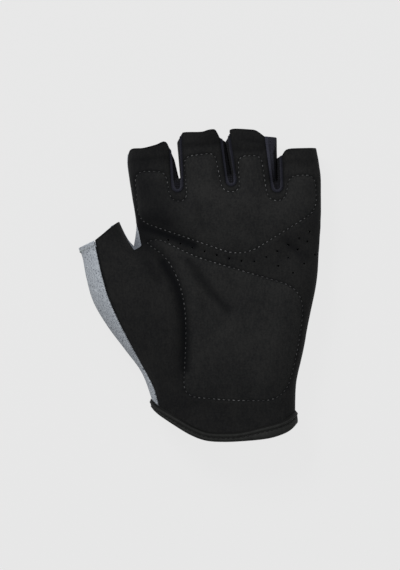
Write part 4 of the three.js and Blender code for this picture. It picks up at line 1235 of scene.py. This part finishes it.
BINDING = dict(leg=3.6, cap=1.4, wall=1.5)
TURNED_UP = dict(extra=2, from_x=18, to_x=38)
VALLEY = dict(reach=2.85, height=0.95)
# The folded tape's section: reach from its upper edge (or, past the valley, back from its fold) and
# height over the cloth that it covers
TAPE_UPPER = [(0, 0.12), (0.05, 0.4), (0.5, 0.6), (0.85, 0.95), (1.25, 1.3), (1.7, 1.42), (2.2, 1.28),
              (2.6, 0.97), (2.85, 0.85), (3.05, 0.95), (3.4, 1.3)]
TAPE_FOLD = [(1.3, 1.5), (0.8, 1.38), (0.4, 1.05), (0.12, 0.55), (0, -0.1)]


def tape_section(leg):
    """Reach outwards from the cloth's edge and height over its outer face, round the folded tape."""
    cap, cloth = BINDING["cap"], BINDING["wall"]
    outer = [(reach - leg, height) for reach, height in TAPE_UPPER]
    outer += [(cap - reach, height) for reach, height in TAPE_FOLD]
    inner = [(reach, -cloth - height) for reach, height in reversed(outer)]
    lining = [(-leg, -cloth - 0.1), (0.35, -cloth - 0.1), (0.5, -cloth / 2), (0.35, 0.1), (-leg, 0.1)]
    return np.array([*outer, *inner, *lining])


across_wrist = (1 - np.cos(np.linspace(0, math.pi, 150))) / 2
wrist_x = mix(WRIST_EDGE["palm"][0][0], WRIST_EDGE["palm"][-1][0], across_wrist)
over, over_normals = skin(on_wrist(wrist_x, 1), np.ones(len(wrist_x)))
under, under_normals = skin(on_wrist(wrist_x[::-1], -1), -np.ones(len(wrist_x)))
loop, loop_normals = joined(over, under), joined(over_normals, under_normals)
lengths = lengths_along(loop)
even = np.linspace(0, lengths[-1], 260)[:-1]
loop, loop_normals = at_lengths(loop, lengths, even), unit(at_lengths(loop_normals, lengths, even))
tangents = unit(np.roll(loop, -3, axis=0) - np.roll(loop, 3, axis=0))
outward = unit(np.cross(tangents, loop_normals))
legs = BINDING["leg"] + (TURNED_UP["extra"] * smoothstep(loop[:, 0], TURNED_UP["from_x"], TURNED_UP["to_x"])
                         * smoothstep(loop[:, 2], 4, 11))
sections = np.stack([tape_section(leg) for leg in legs])
tape = loop[:, None] + outward[:, None] * sections[..., :1] + loop_normals[:, None] * sections[..., 1:]
index = np.arange(tape[..., 0].size).reshape(tape.shape[:2])
index = np.concatenate([index, index[:1]])
turned = np.roll(index, -1, axis=1)
tape_faces = np.stack([index[:-1], turned[:-1], turned[1:], index[1:]], -1).reshape(-1, 4).tolist()
around_tape = np.cumsum(np.linalg.norm(np.diff(sections[0], axis=0, prepend=sections[0][:1]), axis=1))
tape_uv = np.stack(np.broadcast_arrays(even[:, None], around_tape), -1).reshape(-1, 2)
piece("wrist_tape", tape.reshape(-1, 3), tape_faces, black_tape, ["wrist_binding"], tape_uv)
valley = loop + outward * (VALLEY["reach"] - legs)[:, None] + loop_normals * VALLEY["height"]
sewn_row("tape_stitches", np.vstack([valley, valley[:1]]), np.vstack([loop_normals, loop_normals[:1]]),
         black_thread, length=1.9, pitch=2.6, radius=0.24)


# Floor, light and camera

MM_PER_PIXEL = 0.53
IMAGE_HEIGHT = 570
GIRDLE = 0.012
LENS = 200
SENSOR = 36
FLOOR_SIZE = 6
FLOOR_LEVEL = -0.0002
CAMERA_Y = 0.0003
LIT_PLACE = (0, 0, 0.01)

# A translucent table lit from below, so that the glove casts hardly any shadow
bpy.ops.mesh.primitive_plane_add(size=FLOOR_SIZE, location=(0, 0, FLOOR_LEVEL))
floor = bpy.context.object
floor.name = "floor"
floor_finish = Finish("floor", roughness=0.95, specular=0, emission=0.775)
clouds = floor_finish.noise(floor_finish.coordinates("Object"), 2, 1)
floor.data.materials.append(floor_finish.finish(floor_finish.blend(clouds, [0.024] * 3, [0.026] * 3)))

world = bpy.data.worlds.new("studio")
world.use_nodes = True
background = world.node_tree.nodes["Background"].inputs
background["Color"].default_value = (0.97, 0.985, 1, 1)
background["Strength"].default_value = 0.3
bpy.context.scene.world = world
bpy.context.scene.view_settings.view_transform = "Standard"


def softbox(name, place, size, watts):
    light = bpy.data.lights.new(name, "AREA")
    light.size, light.energy = size, watts
    made = bpy.data.objects.new(name, light)
    made.location = place
    made.rotation_euler = Vector(LIT_PLACE - np.array(place)).to_track_quat("-Z", "Y").to_euler()
    bpy.context.scene.collection.objects.link(made)


softbox("key_light", (-0.65, 1.0, 1.05), 0.55, 25)
softbox("fill_light", (0.9, -0.35, 0.9), 0.8, 4)

camera_data = bpy.data.cameras.new("camera")
camera_data.lens, camera_data.sensor_width = LENS, SENSOR
camera_data.clip_end = 20
camera = bpy.data.objects.new("camera", camera_data)
camera.location = (0, CAMERA_Y, GIRDLE + IMAGE_HEIGHT * MM_PER_PIXEL * MM * LENS / SENSOR)
bpy.context.scene.collection.objects.link(camera)
bpy.context.scene.camera = camera
